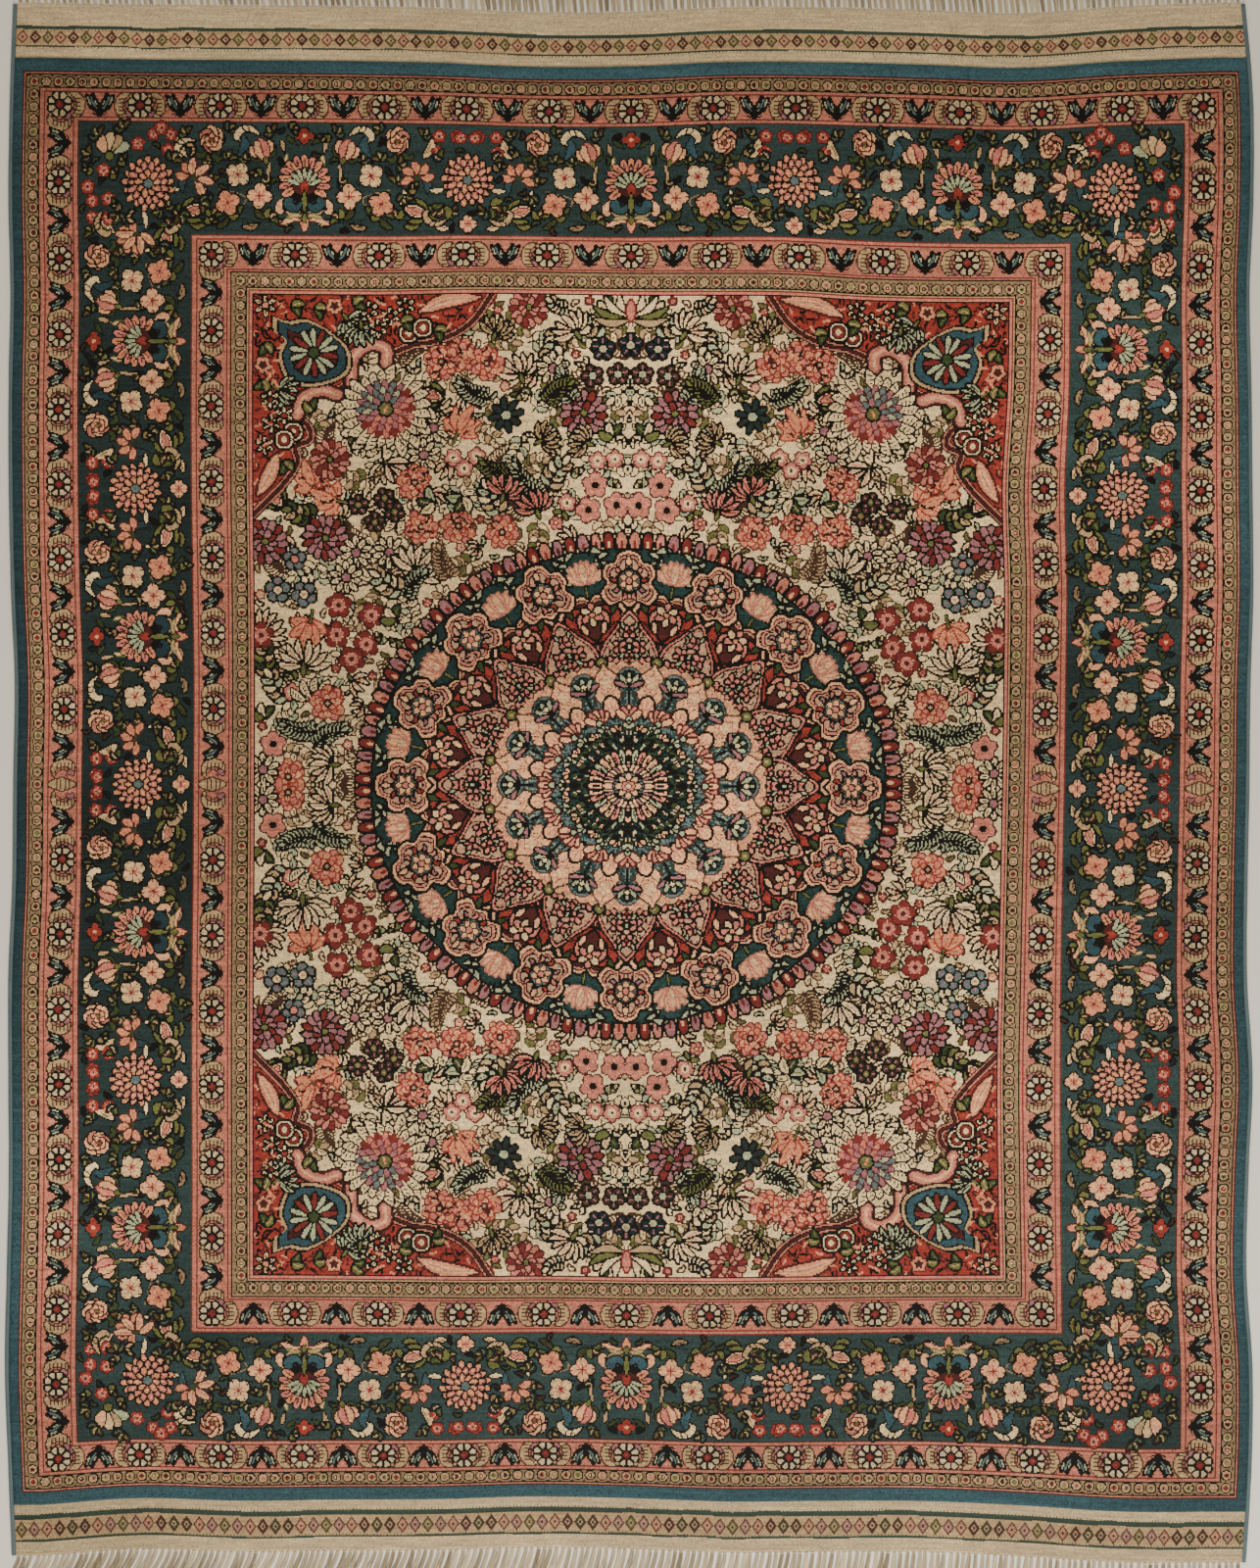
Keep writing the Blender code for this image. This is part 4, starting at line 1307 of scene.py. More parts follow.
# The red corner piece: its scalloped edge, scrolls, great flower, blue diamond and small flowers.
def laySpandrel():
    corner = Motif(*fieldHalf, 180)
    corner.patch(spandrelEdge, "red", rim=0)
    for width, yarn in ((10.0, "ink"), (7.6, "salmon"), (4.6, "ink"), (2.6, "maroon")):
        corner.line(list(spandrelEdge[2:22]), width, yarn, "stem")
    for path in (((328, 34), (378, 14), (446, 8)), ((48, 318), (34, 356), (10, 398))):
        corner.line(path, 13, "apricot", "leaf", 2.6, "maroon")
        corner.line(path, 7, "peach")
        corner.line(path, 2, "salmon")
    for path in (((194, 172), (198, 124), (230, 98), (262, 108), (262, 134)),
                 ((88, 238), (100, 206), (134, 190), (166, 198))):
        for width, yarn in ((16.5, "ink"), (14.0, "maroon"), (10.5, "salmon"), (7.0, "rose"), (3.0, "peach")):
            corner.line(path, width, yarn, "stem")
    for turn in range(-80, 100, 20):     # the pale hatched arc round the great flower
        feather(corner.part(262, 226, turn), 100)
        feather(corner.part(262, 226, turn + 10), 82)
    greatFlower(corner.part(262, 226, 200))
    diamond = ((45, 49), (74, 58), (106, 54), (152, 78), (184, 112), (180, 154), (126, 176),
               (76, 168), (56, 124), (66, 92), (48, 76))
    middle = corner.part(120, 115)
    inner = tuple((u - 120, v - 115) for u, v in diamond)
    middle.nested(inner, ((1.14, "ink"), (1.08, "sand"), (0.99, "ink"), (0.93, "edgeBlue"), (0.72, "ink"),
                          (0.66, "maroon")), rim=0)
    for step in range(14):
        petal = middle.part(0, 0, 360 * step / 14)
        petal.line([[0, 10], [2, 44]], 4.8, "celadon" if step % 3 else "crimson", "petal", 1.6)
    middle.bloom(5, 10, "moss", depth=0.25, rim=2.2)
    for u, v, turn in ((196, 60, 40), (64, 196, 60), (216, 80, 10)):
        sideLily(corner.part(u, v, turn), 42, "celadon", "ink")
    for u, v in ((228, 30), (270, 42), (246, 66), (300, 22), (34, 208), (36, 256), (62, 240), (24, 300)):
        daisy(corner.part(u, v), 18, "ivory", "red", 6)
    for u, v in ((306, 76), (334, 66), (80, 272), (62, 288)):
        corner.part(u, v).bloom(4, 18, "ivory", depth=0.12, rim=2.6, start=45)
        corner.part(u, v).bloom(4, 12, "crimson", depth=0.1, rim=1.4, start=45)
        corner.part(u, v).bloom(4, 6, "ivory", depth=0.3, rim=0)
    for u, v, turn in ((74, 22, 70), (22, 96, 10), (196, 20, 100), (290, 54, 80), (20, 168, -10),
                       (120, 26, 60), (120, 232, 200), (356, 70, 60), (60, 330, 20)):
        leafCluster(corner.part(u, v, turn), (-30, 25), 26, ("moss", "olive"))
    daisy(corner.part(24, 22), 22, "cream", "apricot", 6)
    for u, v in ((160, 22), (20, 140)):
        star(corner.part(u, v), 16, "apricot", "maroon")
    for number, (yarn, count) in enumerate((("apricot", 420), ("maroon", 900), ("ink", 700))):
        stipple("red", yarn, groundFill["twigsWithin"], count, 51 + number, 11, 2.2, near=(250, 500))


# The middle of the quarter as a drawing lays it, cut off at a line round it.
def layWithin(halfWidth, halfLength, drawings):
    kept = chart.copy()
    for draw in drawings:
        draw()
    row, column = int(halfLength / knotAlong), int(halfWidth / knotAcross)
    chart[row:], chart[:, column:] = kept[row:], kept[:, column:]


# The whole quarter, from its edge inwards; the fillings take what ground is left.
def layChart():
    layFrames()
    layChains()
    for guard in guards:
        layGuard(*guard)
    layMainBorder()
    layCorner()
    Motif.rimGrowth = 2.05       # the field and the medallion are drawn with darker outlines
    layWithin(*fieldHalf, (layField, laySpandrel, layMedallion))
    fillGround(groundFill["fieldFar"], "ivory", fieldFillings)
    fillGround(groundFill["fieldFar"], "red", redFillings, 1)
    fillGround(groundFill["borderFar"], "teal", tealFillings, 2)


# Standard screen colour of 255 as linear light.
def linear(colour):
    share = np.asarray(colour, dtype=float) / 255
    return np.where(share <= 0.04045, share / 12.92, ((share + 0.055) / 1.055) ** 2.4)


knotWear = {                 # how far the dyed knots stray from their yarn's colour
    "seed": 21,
    "knot": 0.16,            # from one knot to the next
    "dusty": (0.07, 0.55),   # share of the knots that are darker, and by how much
    "row": 0.05,             # whole rows of one dye lot
    "streak": (0.10, 2, 22),     # short stretches: how much, and their size in rows and columns
    "patch": (0.07, 110, 120),   # broad patches, some 300 mm across
    "abrash": (0.16, 26, 160),   # bands of the blue-green ground, dyed in lots
    "fade": 0.015,           # towards the yarns' common grey-brown
    "common": (0.16, 0.12, 0.085),
}
coolDyes = ("teal", "edgeBlue", "navy", "sea")


# Smooth noise on a grid: random values at a few places, with straight steps between them.
def softNoise(chance, rows, columns, stepRows, stepColumns):
    few = chance.standard_normal((rows // stepRows + 2, columns // stepColumns + 2))
    r = np.arange(rows) / stepRows
    c = np.arange(columns) / stepColumns
    r0, c0 = r.astype(int), c.astype(int)
    fr, fc = (r - r0)[:, None], (c - c0)[None, :]
    fr, fc = fr * fr * (3 - 2 * fr), fc * fc * (3 - 2 * fc)
    low = few[r0][:, c0] * (1 - fc) + few[r0][:, c0 + 1] * fc
    high = few[r0 + 1][:, c0] * (1 - fc) + few[r0 + 1][:, c0 + 1] * fc
    return low * (1 - fr) + high * fr


sheenAndWearPatches = (              # place in metres, radius, lighter or darker: broad patches of painted light and shade from the silk's sheen, partly wear
    *((0.3 * step, 1.41, 0.18, -0.34 + 0.03 * step) for step in range(-4, 5)),
    *((0.55 * step, 1.17, 0.32, 0.20) for step in (-1, 0, 1)), (0.10, -1.44, 0.40, -0.22),
    (-0.45, -1.44, 0.30, -0.18), (-1.22, -0.85, 0.28, 0.30), (-0.72, -0.82, 0.28, -0.18),
    (-0.90, -1.45, 0.25, -0.14), (-1.0, 0.25, 0.40, 0.02), (-0.33, 0.06, 0.30, -0.10),
    (1.0, 0.65, 0.40, 0.26), (0.0, 0.85, 0.30, 0.14), (0.95, -1.20, 0.35, -0.14),
    (1.05, -0.30, 0.28, -0.16), (0.08, 0.0, 0.30, 0.28), (0.0, 0.72, 0.36, 0.14),
    (0.62, 0.12, 0.20, -0.16), (1.15, -1.40, 0.22, -0.14), (-0.46, 0.68, 0.22, -0.10),
    (-0.64, 0.20, 0.22, -0.16), (-0.64, -0.20, 0.22, -0.16),
)
groundShadeAndDyePatches = (            # the same, for the blue-green dyes alone: painted light and shade, partly dye lots
    *((0.3 * step, 1.44, 0.16, 0.62) for step in range(-4, 5)),
    (-0.98, 0.40, 0.70, -0.42), (-0.98, -0.25, 0.45, -0.38), (0.0, -1.20, 0.75, 0.32),
    (-0.95, -1.15, 0.40, 0.20), (0.98, -0.80, 0.50, 0.15), (0.98, 0.85, 0.45, 0.22),
    (0.0, 1.25, 0.60, 0.16),
)


# The patches added together: each fades by the bell curve of its distance over its radius.
def patchShade(patches, x, y):
    shade = 0.0
    for px, py, radius, change in patches:
        shade = shade + change * np.exp(-((x - px) ** 2 + (y - py) ** 2) / radius ** 2)
    return shade


# Every knot's linear colour: its yarn, made lighter or darker by the noises added together; on the pile also
# by broad patches of painted light and shade.
def dyedAndShadedKnots(numbers, chance, x=None, y=None):
    rows, columns = numbers.shape
    table = linear(list(yarns.values()))
    share, darker = knotWear["dusty"]

    def cloud(name):
        much, stepRows, stepColumns = knotWear[name]
        return much * softNoise(chance, rows, columns, stepRows, stepColumns)

    shade = (knotWear["knot"] * chance.standard_normal((rows, columns))
             - darker * (chance.random((rows, columns)) < share)
             + knotWear["row"] * chance.standard_normal((rows, 1))
             + cloud("streak") + cloud("patch"))
    if x is not None:
        cool = np.isin(numbers, [yarnNumber[name] for name in coolDyes])
        # Broad patches of painted light and shade from the silk's sheen, partly wear; the blue-green dyes
        # take more of them, partly dye lots.
        shade += patchShade(sheenAndWearPatches, x, y)
        shade += cool * patchShade(groundShadeAndDyePatches, x, y)
        shade += (numbers == yarnNumber["teal"]) * cloud("abrash")
    colour = table[numbers] * np.exp(shade)[..., None]
    return colour * (1 - knotWear["fade"]) + np.array(knotWear["common"]) * knotWear["fade"]


# A mesh from points, the number of corners of each face, and all the corners in a row.
def newMesh(name, points, faceSizes, corners):
    mesh = bpy.data.meshes.new(name)
    mesh.vertices.add(len(points))
    mesh.vertices.foreach_set("co", np.ascontiguousarray(points, dtype=np.float32).ravel())
    mesh.loops.add(len(corners))
    mesh.loops.foreach_set("vertex_index", np.ascontiguousarray(corners, dtype=np.int32))
    mesh.polygons.add(len(faceSizes))
    starts = np.concatenate([[0], np.cumsum(faceSizes)[:-1]])
    mesh.polygons.foreach_set("loop_start", starts.astype(np.int32))
    mesh.update(calc_edges=True)
    return mesh


# A mesh with its material, as an object of the scene.
def newPiece(name, mesh, finish, smooth=False):
    mesh.materials.append(finish)
    mesh.polygons.foreach_set("use_smooth", np.full(len(mesh.polygons), smooth))
    piece = bpy.data.objects.new(name, mesh)
    bpy.context.scene.collection.objects.link(piece)
    return piece


# A map with one place for each corner of each face.
def addMap(mesh, name, places):
    layer = mesh.uv_layers.new(name=name)
    layer.data.foreach_set("uv", np.ascontiguousarray(places, dtype=np.float32).ravel())


flatMap = {                  # shares of the flat map: margins, and where back, rim and top lie
    "margin": 0.002,
    "bandMargin": 0.006,
    "back": (0.004, 0.084),
    "rim": (0.088, 0.096),
    "top": 0.1,
}


# A closed slab of weaving. Its top is a grid of faces that each show two by two cells of colour;
# its back is a grid half as fine, and a rim of five-sided faces joins the two.
def weaveSlab(name, x, y, z, cells, finish, folds, foldRows):
    rows, columns = x.shape[0] - 1, x.shape[1] - 1
    backRows, backColumns = rows // 2, columns // 2
    top = np.arange((rows + 1) * (columns + 1)).reshape(rows + 1, columns + 1)
    back = top.size + np.arange((backRows + 1) * (backColumns + 1)).reshape(backRows + 1, backColumns + 1)
    points = np.concatenate([
        np.stack([x, y, z], axis=-1).reshape(-1, 3),
        np.stack([x[::2, ::2], y[::2, ::2], np.zeros_like(x[::2, ::2])], axis=-1).reshape(-1, 3)])
    topFaces = np.stack([top[:-1, :-1], top[:-1, 1:], top[1:, 1:], top[1:, :-1]], axis=-1).reshape(-1, 4)
    backFaces = np.stack([back[:-1, :-1], back[1:, :-1], back[1:, 1:], back[:-1, 1:]],
                         axis=-1).reshape(-1, 4)
    rim = []
    for upper, lower, forward in ((top[0], back[0], True), (top[:, -1], back[:, -1], True),
                                  (top[-1], back[-1], False), (top[:, 0], back[:, 0], False)):
        five = np.stack([lower[:-1], lower[1:], upper[2::2], upper[1::2], upper[:-1:2]], axis=-1)
        rim.append(five if forward else five[:, ::-1])
    rim = np.concatenate(rim)
    sizes = np.concatenate([np.full(len(topFaces), 4), np.full(len(backFaces), 4), np.full(len(rim), 5)])
    corners = np.concatenate([topFaces.ravel(), backFaces.ravel(), rim.ravel()])
    mesh = newMesh(name, points, sizes, corners)

    behind = cells.reshape(backRows * 2, 2, backColumns * 2, 2, 3).mean(axis=(1, 3))
    edge = np.tile(cells[[0, 0, -1, -1], [0, -1, 0, -1]].mean(axis=0), (len(rim), 1))
    for key, row, column in (("lowLeft", 0, 0), ("lowRight", 0, 1), ("highLeft", 1, 0), ("highRight", 1, 1)):
        colour = np.concatenate([cells[row::2, column::2].reshape(-1, 3),
                                 behind[row::2, column::2].reshape(-1, 3), edge])
        layer = mesh.attributes.new(key, "FLOAT_COLOR", "FACE")
        layer.data.foreach_set("color", np.column_stack([colour, np.ones(len(colour))]).ravel())

    # The cell map runs from 0 to 1 across each face of the top and the back.
    square = np.array([[0, 0], [1, 0], [1, 1], [0, 1]])
    rimPlace = np.full((len(rim) * 5, 2), 0.25)
    addMap(mesh, "cells", np.concatenate([np.tile(square, (len(topFaces), 1)),
                                          np.tile(square[[0, 3, 2, 1]], (len(backFaces), 1)), rimPlace]))

    # The flat map folds the long top into a few bands, over one thin band for the back and the rim.
    def corner(count, other, offsets, alongRows):
        r, c = np.divmod(np.arange(count * other), other)
        place = np.stack([c[:, None] + offsets[:, 0], r[:, None] + offsets[:, 1]], axis=-1)
        return (r if alongRows else c), place / (other, count)

    def stretched(along):
        return flatMap["margin"] + along * (1 - 2 * flatMap["margin"])

    base, margin = flatMap["top"], flatMap["bandMargin"]
    first, place = corner(rows, columns, square, foldRows)
    longCount = rows if foldRows else columns
    band = (first * folds // longCount)[:, None]
    along = place[..., 1 if foldRows else 0] * folds - band
    across = 1 - place[..., 0] if foldRows else place[..., 1]
    across = band + margin + across * (1 - 2 * margin)
    topMap = np.stack([stretched(along), base + (1 - base) * across / folds], axis=-1)
    _, place = corner(backRows, backColumns, square[[0, 3, 2, 1]], foldRows)
    along, across = (place[..., 1], place[..., 0]) if foldRows else (1 - place[..., 0], place[..., 1])
    low, high = flatMap["back"]
    backMap = np.stack([stretched(along), low + across * (high - low)], axis=-1)
    share = np.linspace(0, 1, len(rim) + 1)
    before, after = share[:-1], share[1:]
    low, high = flatMap["rim"]
    rimMap = np.stack([np.stack([before, after, after, (before + after) / 2, before], axis=-1),
                       np.tile([low, low, high, high, high], (len(rim), 1))], axis=-1)
    addMap(mesh, "OFBake", np.concatenate([m.reshape(-1, 2) for m in (topMap, backMap, rimMap)]))
    mesh.validate()
    return newPiece(name, mesh, finish)


# A screen colour of 255 as a shader takes it.
def flat(colour):
    return (*linear(colour), 1)


# A small set of shader helpers: each adds a node and returns its output.
class Finish:
    def __init__(self, name):
        self.material = bpy.data.materials.new(name)
        self.material.use_nodes = True
        self.tree = self.material.node_tree
        self.shader = self.tree.nodes["Principled BSDF"]

    def node(self, kind, out=0, **settings):
        node = self.tree.nodes.new(kind)
        inputs = settings.pop("inputs", {})
        for key, value in settings.items():
            setattr(node, key, value)
        for key, value in inputs.items():
            if isinstance(value, bpy.types.NodeSocket):
                self.tree.links.new(value, node.inputs[key])
            else:
                node.inputs[key].default_value = value
        return node.outputs[out]

    def maths(self, operation, first, second=0.5, third=0.5):
        return self.node("ShaderNodeMath", operation=operation, inputs={0: first, 1: second, 2: third})

    def mixed(self, share, first, second, blend="MIX"):
        return self.node("ShaderNodeMix", 2, data_type="RGBA", blend_type=blend,
                         inputs={0: share, 6: first, 7: second})

    def noise(self, scale, detail=3.0, where=None, stretch=None):
        if where is None:
            where = self.node("ShaderNodeTexCoord", 3)
        if stretch is not None:
            where = self.node("ShaderNodeMapping", inputs={0: where, 3: stretch})
        return self.node("ShaderNodeTexNoise", inputs={"Vector": where, "Scale": scale, "Detail": detail})

    def between(self, value, low, high):
        return self.node("ShaderNodeMapRange", inputs={0: value, 3: low, 4: high})

    def attribute(self, name, out="Color"):
        return self.node("ShaderNodeAttribute", out, attribute_name=name)

    def place(self, name):
        where = self.node("ShaderNodeUVMap", uv_map=name)
        split = self.node("ShaderNodeSeparateXYZ", inputs={0: where}).node
        return split.outputs[0], split.outputs[1]

    def bump(self, height, strength, distance):
        return self.node("ShaderNodeBump",
                         inputs={"Strength": strength, "Distance": distance, "Height": height})

    def set(self, **values):
        for key, value in values.items():
            socket = self.shader.inputs[key.replace("_", " ")]
            if isinstance(value, bpy.types.NodeSocket):
                self.tree.links.new(value, socket)
            else:
                socket.default_value = value
        return self.material


# The colour of the cell that a point of a face lies in: one of the face's four colours.
def cellColour(finish):
    u, v = finish.place("cells")
    right = finish.maths("GREATER_THAN", u)
    high = finish.maths("GREATER_THAN", v)
    low = finish.mixed(right, finish.attribute("lowLeft"), finish.attribute("lowRight"))
    upper = finish.mixed(right, finish.attribute("highLeft"), finish.attribute("highRight"))
    return finish.mixed(high, low, upper), u, v


# Little domes, two to each side of a face: a sine squared along both directions, multiplied.
def cellDomes(finish, u, v, power=0.5):
    waves = [finish.maths("ABSOLUTE", finish.maths("SINE", finish.maths("MULTIPLY", w, 2 * np.pi)))
             for w in (u, v)]
    return finish.maths("POWER", finish.maths("MULTIPLY", *waves), power)


silkPile = {                 # the knotted pile: lengths in metres, noise scales in waves to a metre
    "roughness": 0.62,
    "sheen": 0.05,
    "specular": 0.12,
    "knotRelief": 0.0007,
    "fibres": 420.0,
    "fibreShade": (0.86, 1.12),
    # painted shade between the knots' domes
    "paintedDomeShade": (0.70, 1.04),
    # soft clouds of painted sheen: their scale, and how light and dark they make it
    "clouds": 7.0,
    "paintedSheenClouds": (0.94, 1.06),
}
reliefStrength = 0.6
sheenRoughness = 0.4


# The pile's material: a knot's colour times the fibres' random tone, a painted shade that darkens it between
# the knots' domes, and soft clouds of painted sheen.
def makeSilkPile():
    finish = Finish("clippedSilkPile")
    colour, u, v = cellColour(finish)
    domes = cellDomes(finish, u, v)
    fibres = finish.noise(silkPile["fibres"], 2.0)
    cloudy = finish.noise(silkPile["clouds"], 3.0)
    shade = finish.between(fibres, *silkPile["fibreShade"])
    # The domes darken the colour between the knots: painted shade.
    shade = finish.maths("MULTIPLY", shade, finish.between(domes, *silkPile["paintedDomeShade"]))
    # Soft clouds make the colour lighter and darker: painted sheen.
    shade = finish.maths("MULTIPLY", shade, finish.between(cloudy, *silkPile["paintedSheenClouds"]))
    colour = finish.mixed(1.0, colour, shade, "MULTIPLY")
    height = finish.maths("ADD", domes, finish.maths("MULTIPLY", fibres, 0.5))
    normal = finish.bump(height, reliefStrength, silkPile["knotRelief"])
    return finish.set(Base_Color=colour, Roughness=silkPile["roughness"], Normal=normal,
                      Sheen_Weight=silkPile["sheen"], Sheen_Roughness=sheenRoughness,
                      Specular_IOR_Level=silkPile["specular"])


pilePlan = {                 # metres
    "strips": 4,             # the pile is one weaving, laid out in four lengths side by side
    "tuftNoise": 0.00012,    # how far a tuft stands higher or lower
    "ripple": 0.0005,
    "rippleAcross": (5.1, 1.3, 2.3),     # a wave, how far it swings, and the wave that swings it
    "rippleAlong": (4.3, 0.8, 3.7),
    "round": 0.006,
}


# The pile's height: level, lower by a square law near the edges, with ripples and uneven tufts.
def pileHeight(x0, y0, chance):
    inward = np.minimum(chartPlan["halfWidth"] / 1000 - np.abs(x0),
                        chartPlan["halfLength"] / 1000 - np.abs(y0))
    edge = np.clip(1 - inward / pilePlan["round"], 0, 1) ** 2
    wave, swing, other = pilePlan["rippleAcross"]
    across = np.sin(x0 * wave + swing * np.sin(y0 * other))
    wave, swing, other = pilePlan["rippleAlong"]
    along = np.sin(y0 * wave + swing * np.sin(x0 * other + 1))
    ripple = (across + along) / 2
    return (carpet["pileHeight"] - (carpet["pileHeight"] - carpet["pileShoulder"]) * edge
            + pilePlan["ripple"] * ripple * 0.5 - pilePlan["ripple"] * 0.5
            + chance.normal(0, pilePlan["tuftNoise"], x0.shape))


# The whole pile: the quarter mirrored both ways, dyed and painted with broad light and shade, laid on the
# wandering plan, in four lengths.
def makePile():
    chance = np.random.default_rng(knotWear["seed"])
    full = np.block([[chart[::-1, ::-1], chart[::-1]], [chart[:, ::-1], chart]])
    halfWidth, halfLength = chartPlan["halfWidth"] / 1000, chartPlan["halfLength"] / 1000
    knotX, knotY = np.meshgrid((np.arange(full.shape[1]) + 0.5) * knotAcross / 1000 - halfWidth,
                               (np.arange(full.shape[0]) + 0.5) * knotAlong / 1000 - halfLength)
    colours = dyedAndShadedKnots(full, chance, knotX, knotY)
    columns, rows = full.shape[1] // 2, full.shape[0] // 2
    x0, y0 = np.meshgrid(np.linspace(-1, 1, columns + 1) * halfWidth,
                         np.linspace(-1, 1, rows + 1) * halfLength)
    x, y = weaveToCarpet(x0, y0)
    z = pileHeight(x0, y0, chance)
    finish = makeSilkPile()
    count = columns // pilePlan["strips"]
    strips = []
    for number in range(pilePlan["strips"]):
        part = slice(number * count, (number + 1) * count + 1)
        cells = colours[:, number * count * 2:(number + 1) * count * 2]
        strips.append(weaveSlab(f"knottedPile_{number + 1}", x[:, part] + shiftX, y[:, part] + shiftY,
                                z[:, part], cells, finish, 2, True))
    return strips


layChart()
print("chart painted")
pileStrips = makePile()
print("pile made", len(pileStrips), "lengths")


endPlan = {                  # the flat-woven ends, in mm from the pile to the fringe
    "width": 2447.0,
    "columns": 720,
    "cell": 1.7,
    "uneven": 0.1,
    "below": 0.2,            # how far the weave's mean height lies below the solid's
    "diamondPitch": 25.3,
    "diamondSlope": (1.04, 1.18),
    "diamondRings": (1.02, 0.76, 0.46, 0.26),
    "tick": (3, 4, 0.7),     # reach beyond the line, columns from one to the next, share that shows
    "paintedEndShade": (0.76, 0.97),  # painted shade: how dark the weave is painted at the bottom and at the top, the bottom darker against the key light from that side
    "topBands": (            # outer limit of each band, yarn
        (22.0, "wheat"), (25.0, "pine"), (57.0, "diamonds"), (64.0, "pine"), (200.0, "wheat"),
    ),
    "bottomBands": (
        (20.0, "wheat"), (30.0, "pine"), (70.0, "diamonds"), (74.5, "pine"), (200.0, "wheat"),
    ),
    "topYarns": ("salmon", "maroon", "olive"),
    "bottomYarns": ("olive", "mauve", "salmon", "maroon", "moss", "bark", "salmon", "mauve"),
}


# The diamond band: a cell's yarn goes by its distance from the nearest diamond's middle,
# measured as its share across plus its share along.
def diamondBand(across, along, pitch, height, ground, yarnRow):
    number = np.floor(across / pitch).astype(int)
    u = np.abs(across / pitch - number - 0.5) * 2
    v = np.abs(along / height - 0.5) * 2
    distance = u * endPlan["diamondSlope"][0] + v * endPlan["diamondSlope"][1]
    fills = np.array([yarnNumber[name] for name in yarnRow])[number % len(yarnRow)]
    rings = (yarnNumber["bark"], fills, yarnNumber[ground], yarnNumber["bark"])
    result = np.full(across.shape, yarnNumber[ground])
    for limit, yarn in zip(endPlan["diamondRings"], rings):
        result = np.where(distance < limit, yarn, result)
    return result


silkWeave = {                # the flat-woven ends
    "roughness": 0.7,
    "sheen": 0.15,
    "specular": 0.25,
    "ribRelief": 0.0005,
    # painted shade between the ribs
    "paintedRibShade": (0.72, 1.06),
    "fibres": 300.0,
    "fibreShade": (0.8, 1.18),
}


# The ends' material: a cell's colour times a painted shade that darkens it between the ribs, and the fibres'
# random tone.
def makeSilkWeave():
    finish = Finish("flatSilkWeave")
    colour, _, v = cellColour(finish)
    ribs = finish.maths("ABSOLUTE", finish.maths("SINE", finish.maths("MULTIPLY", v, 2 * np.pi)))
    fibres = finish.noise(silkWeave["fibres"], 3.0, stretch=(0.35, 1.0, 1.0))
    # The ribs darken the colour in their grooves: painted shade.
    shade = finish.maths("MULTIPLY", finish.between(ribs, *silkWeave["paintedRibShade"]),
                         finish.between(fibres, *silkWeave["fibreShade"]))
    colour = finish.mixed(1.0, colour, shade, "MULTIPLY")
    height = finish.maths("ADD", ribs, finish.maths("MULTIPLY", fibres, 0.6))
    normal = finish.bump(height, reliefStrength, silkWeave["ribRelief"])
    return finish.set(Base_Color=colour, Roughness=silkWeave["roughness"], Normal=normal,
                      Sheen_Weight=silkWeave["sheen"], Sheen_Roughness=sheenRoughness,
                      Specular_IOR_Level=silkWeave["specular"])


# A flat-woven end: straight rows of cells from the pile's own end line to the fringe's roots.
def makeEnd(name, end, finish):
    depth = carpet["topEnd"] if end > 0 else carpet["bottomEnd"]
    columns, rows = endPlan["columns"], 2 * int(round(depth * 1000 / endPlan["cell"] / 4))
    gap = carpet["gap"]
    chance = np.random.default_rng(knotWear["seed"] + end)
    share = np.linspace(0, 1, columns + 1)
    out = np.linspace(0, 1, rows + 1) if end > 0 else np.linspace(1, 0, rows + 1)
    x = np.zeros((rows + 1, columns + 1))
    y = np.zeros_like(x)
    for row, away in enumerate(out):
        lineX = (share - 0.5) * (endPlan["width"] / 1000)
        for _ in range(3):
            lineY = pileEnd(lineX, end) + end * (away * (depth - gap) + gap)
            left, right = weaveEdge(lineY[0], -1), weaveEdge(lineY[-1], 1)
            lineX = left + (right - left) * share
        x[row], y[row] = lineX, lineY
    z = carpet["endHeight"] + chance.normal(0, endPlan["uneven"] / 1000, x.shape) - endPlan["below"] / 1000
    cellAcross = endPlan["width"] / (2 * columns)
    across = (np.arange(2 * columns) + 0.5)[None, :] * cellAcross + np.zeros((2 * rows, 1))
    away = (np.arange(2 * rows) + 0.5)[:, None] * depth * 1000 / (2 * rows) + np.zeros((1, 2 * columns))
    away = away if end > 0 else away[::-1]
    wobble = softNoise(chance, 2 * rows, 2 * columns, 200, 40) * 0.8
    numbers = np.full(across.shape, yarnNumber["wheat"])
    start = 0.0
    for limit, yarn in endPlan["topBands" if end > 0 else "bottomBands"]:
        inside = (away + wobble >= start) & (away + wobble < limit)
        if yarn == "diamonds":
            band = diamondBand(across, away + wobble - start, endPlan["diamondPitch"], limit - start,
                               "sand", endPlan["topYarns" if end > 0 else "bottomYarns"])
            numbers[inside] = band[inside]
        else:
            numbers[inside] = yarnNumber[yarn]
            if yarn == "pine":     # ticks of the same yarn stand out from the line
                reach, every, shown = endPlan["tick"]
                ticks = (np.abs(away + wobble - (start + limit) / 2) < (limit - start) * 0.5 + reach)
                ticks &= np.arange(2 * columns)[None, :] % every == 0
                ticks &= chance.random(across.shape) < shown
                numbers[ticks & ~inside] = yarnNumber["pine"]
        start = limit
    # Each end's weave is darkened as painted shade, the bottom one more, where the key light falls brighter.
    colours = dyedAndShadedKnots(numbers, chance) * endPlan["paintedEndShade"][end > 0]
    return weaveSlab(name, x + shiftX, y + shiftY, z, colours, finish, 5, False)


weaveFinish = makeSilkWeave()
endPieces = [makeEnd("wovenEndBottom", -1, weaveFinish), makeEnd("wovenEndTop", 1, weaveFinish)]
print("woven ends made")


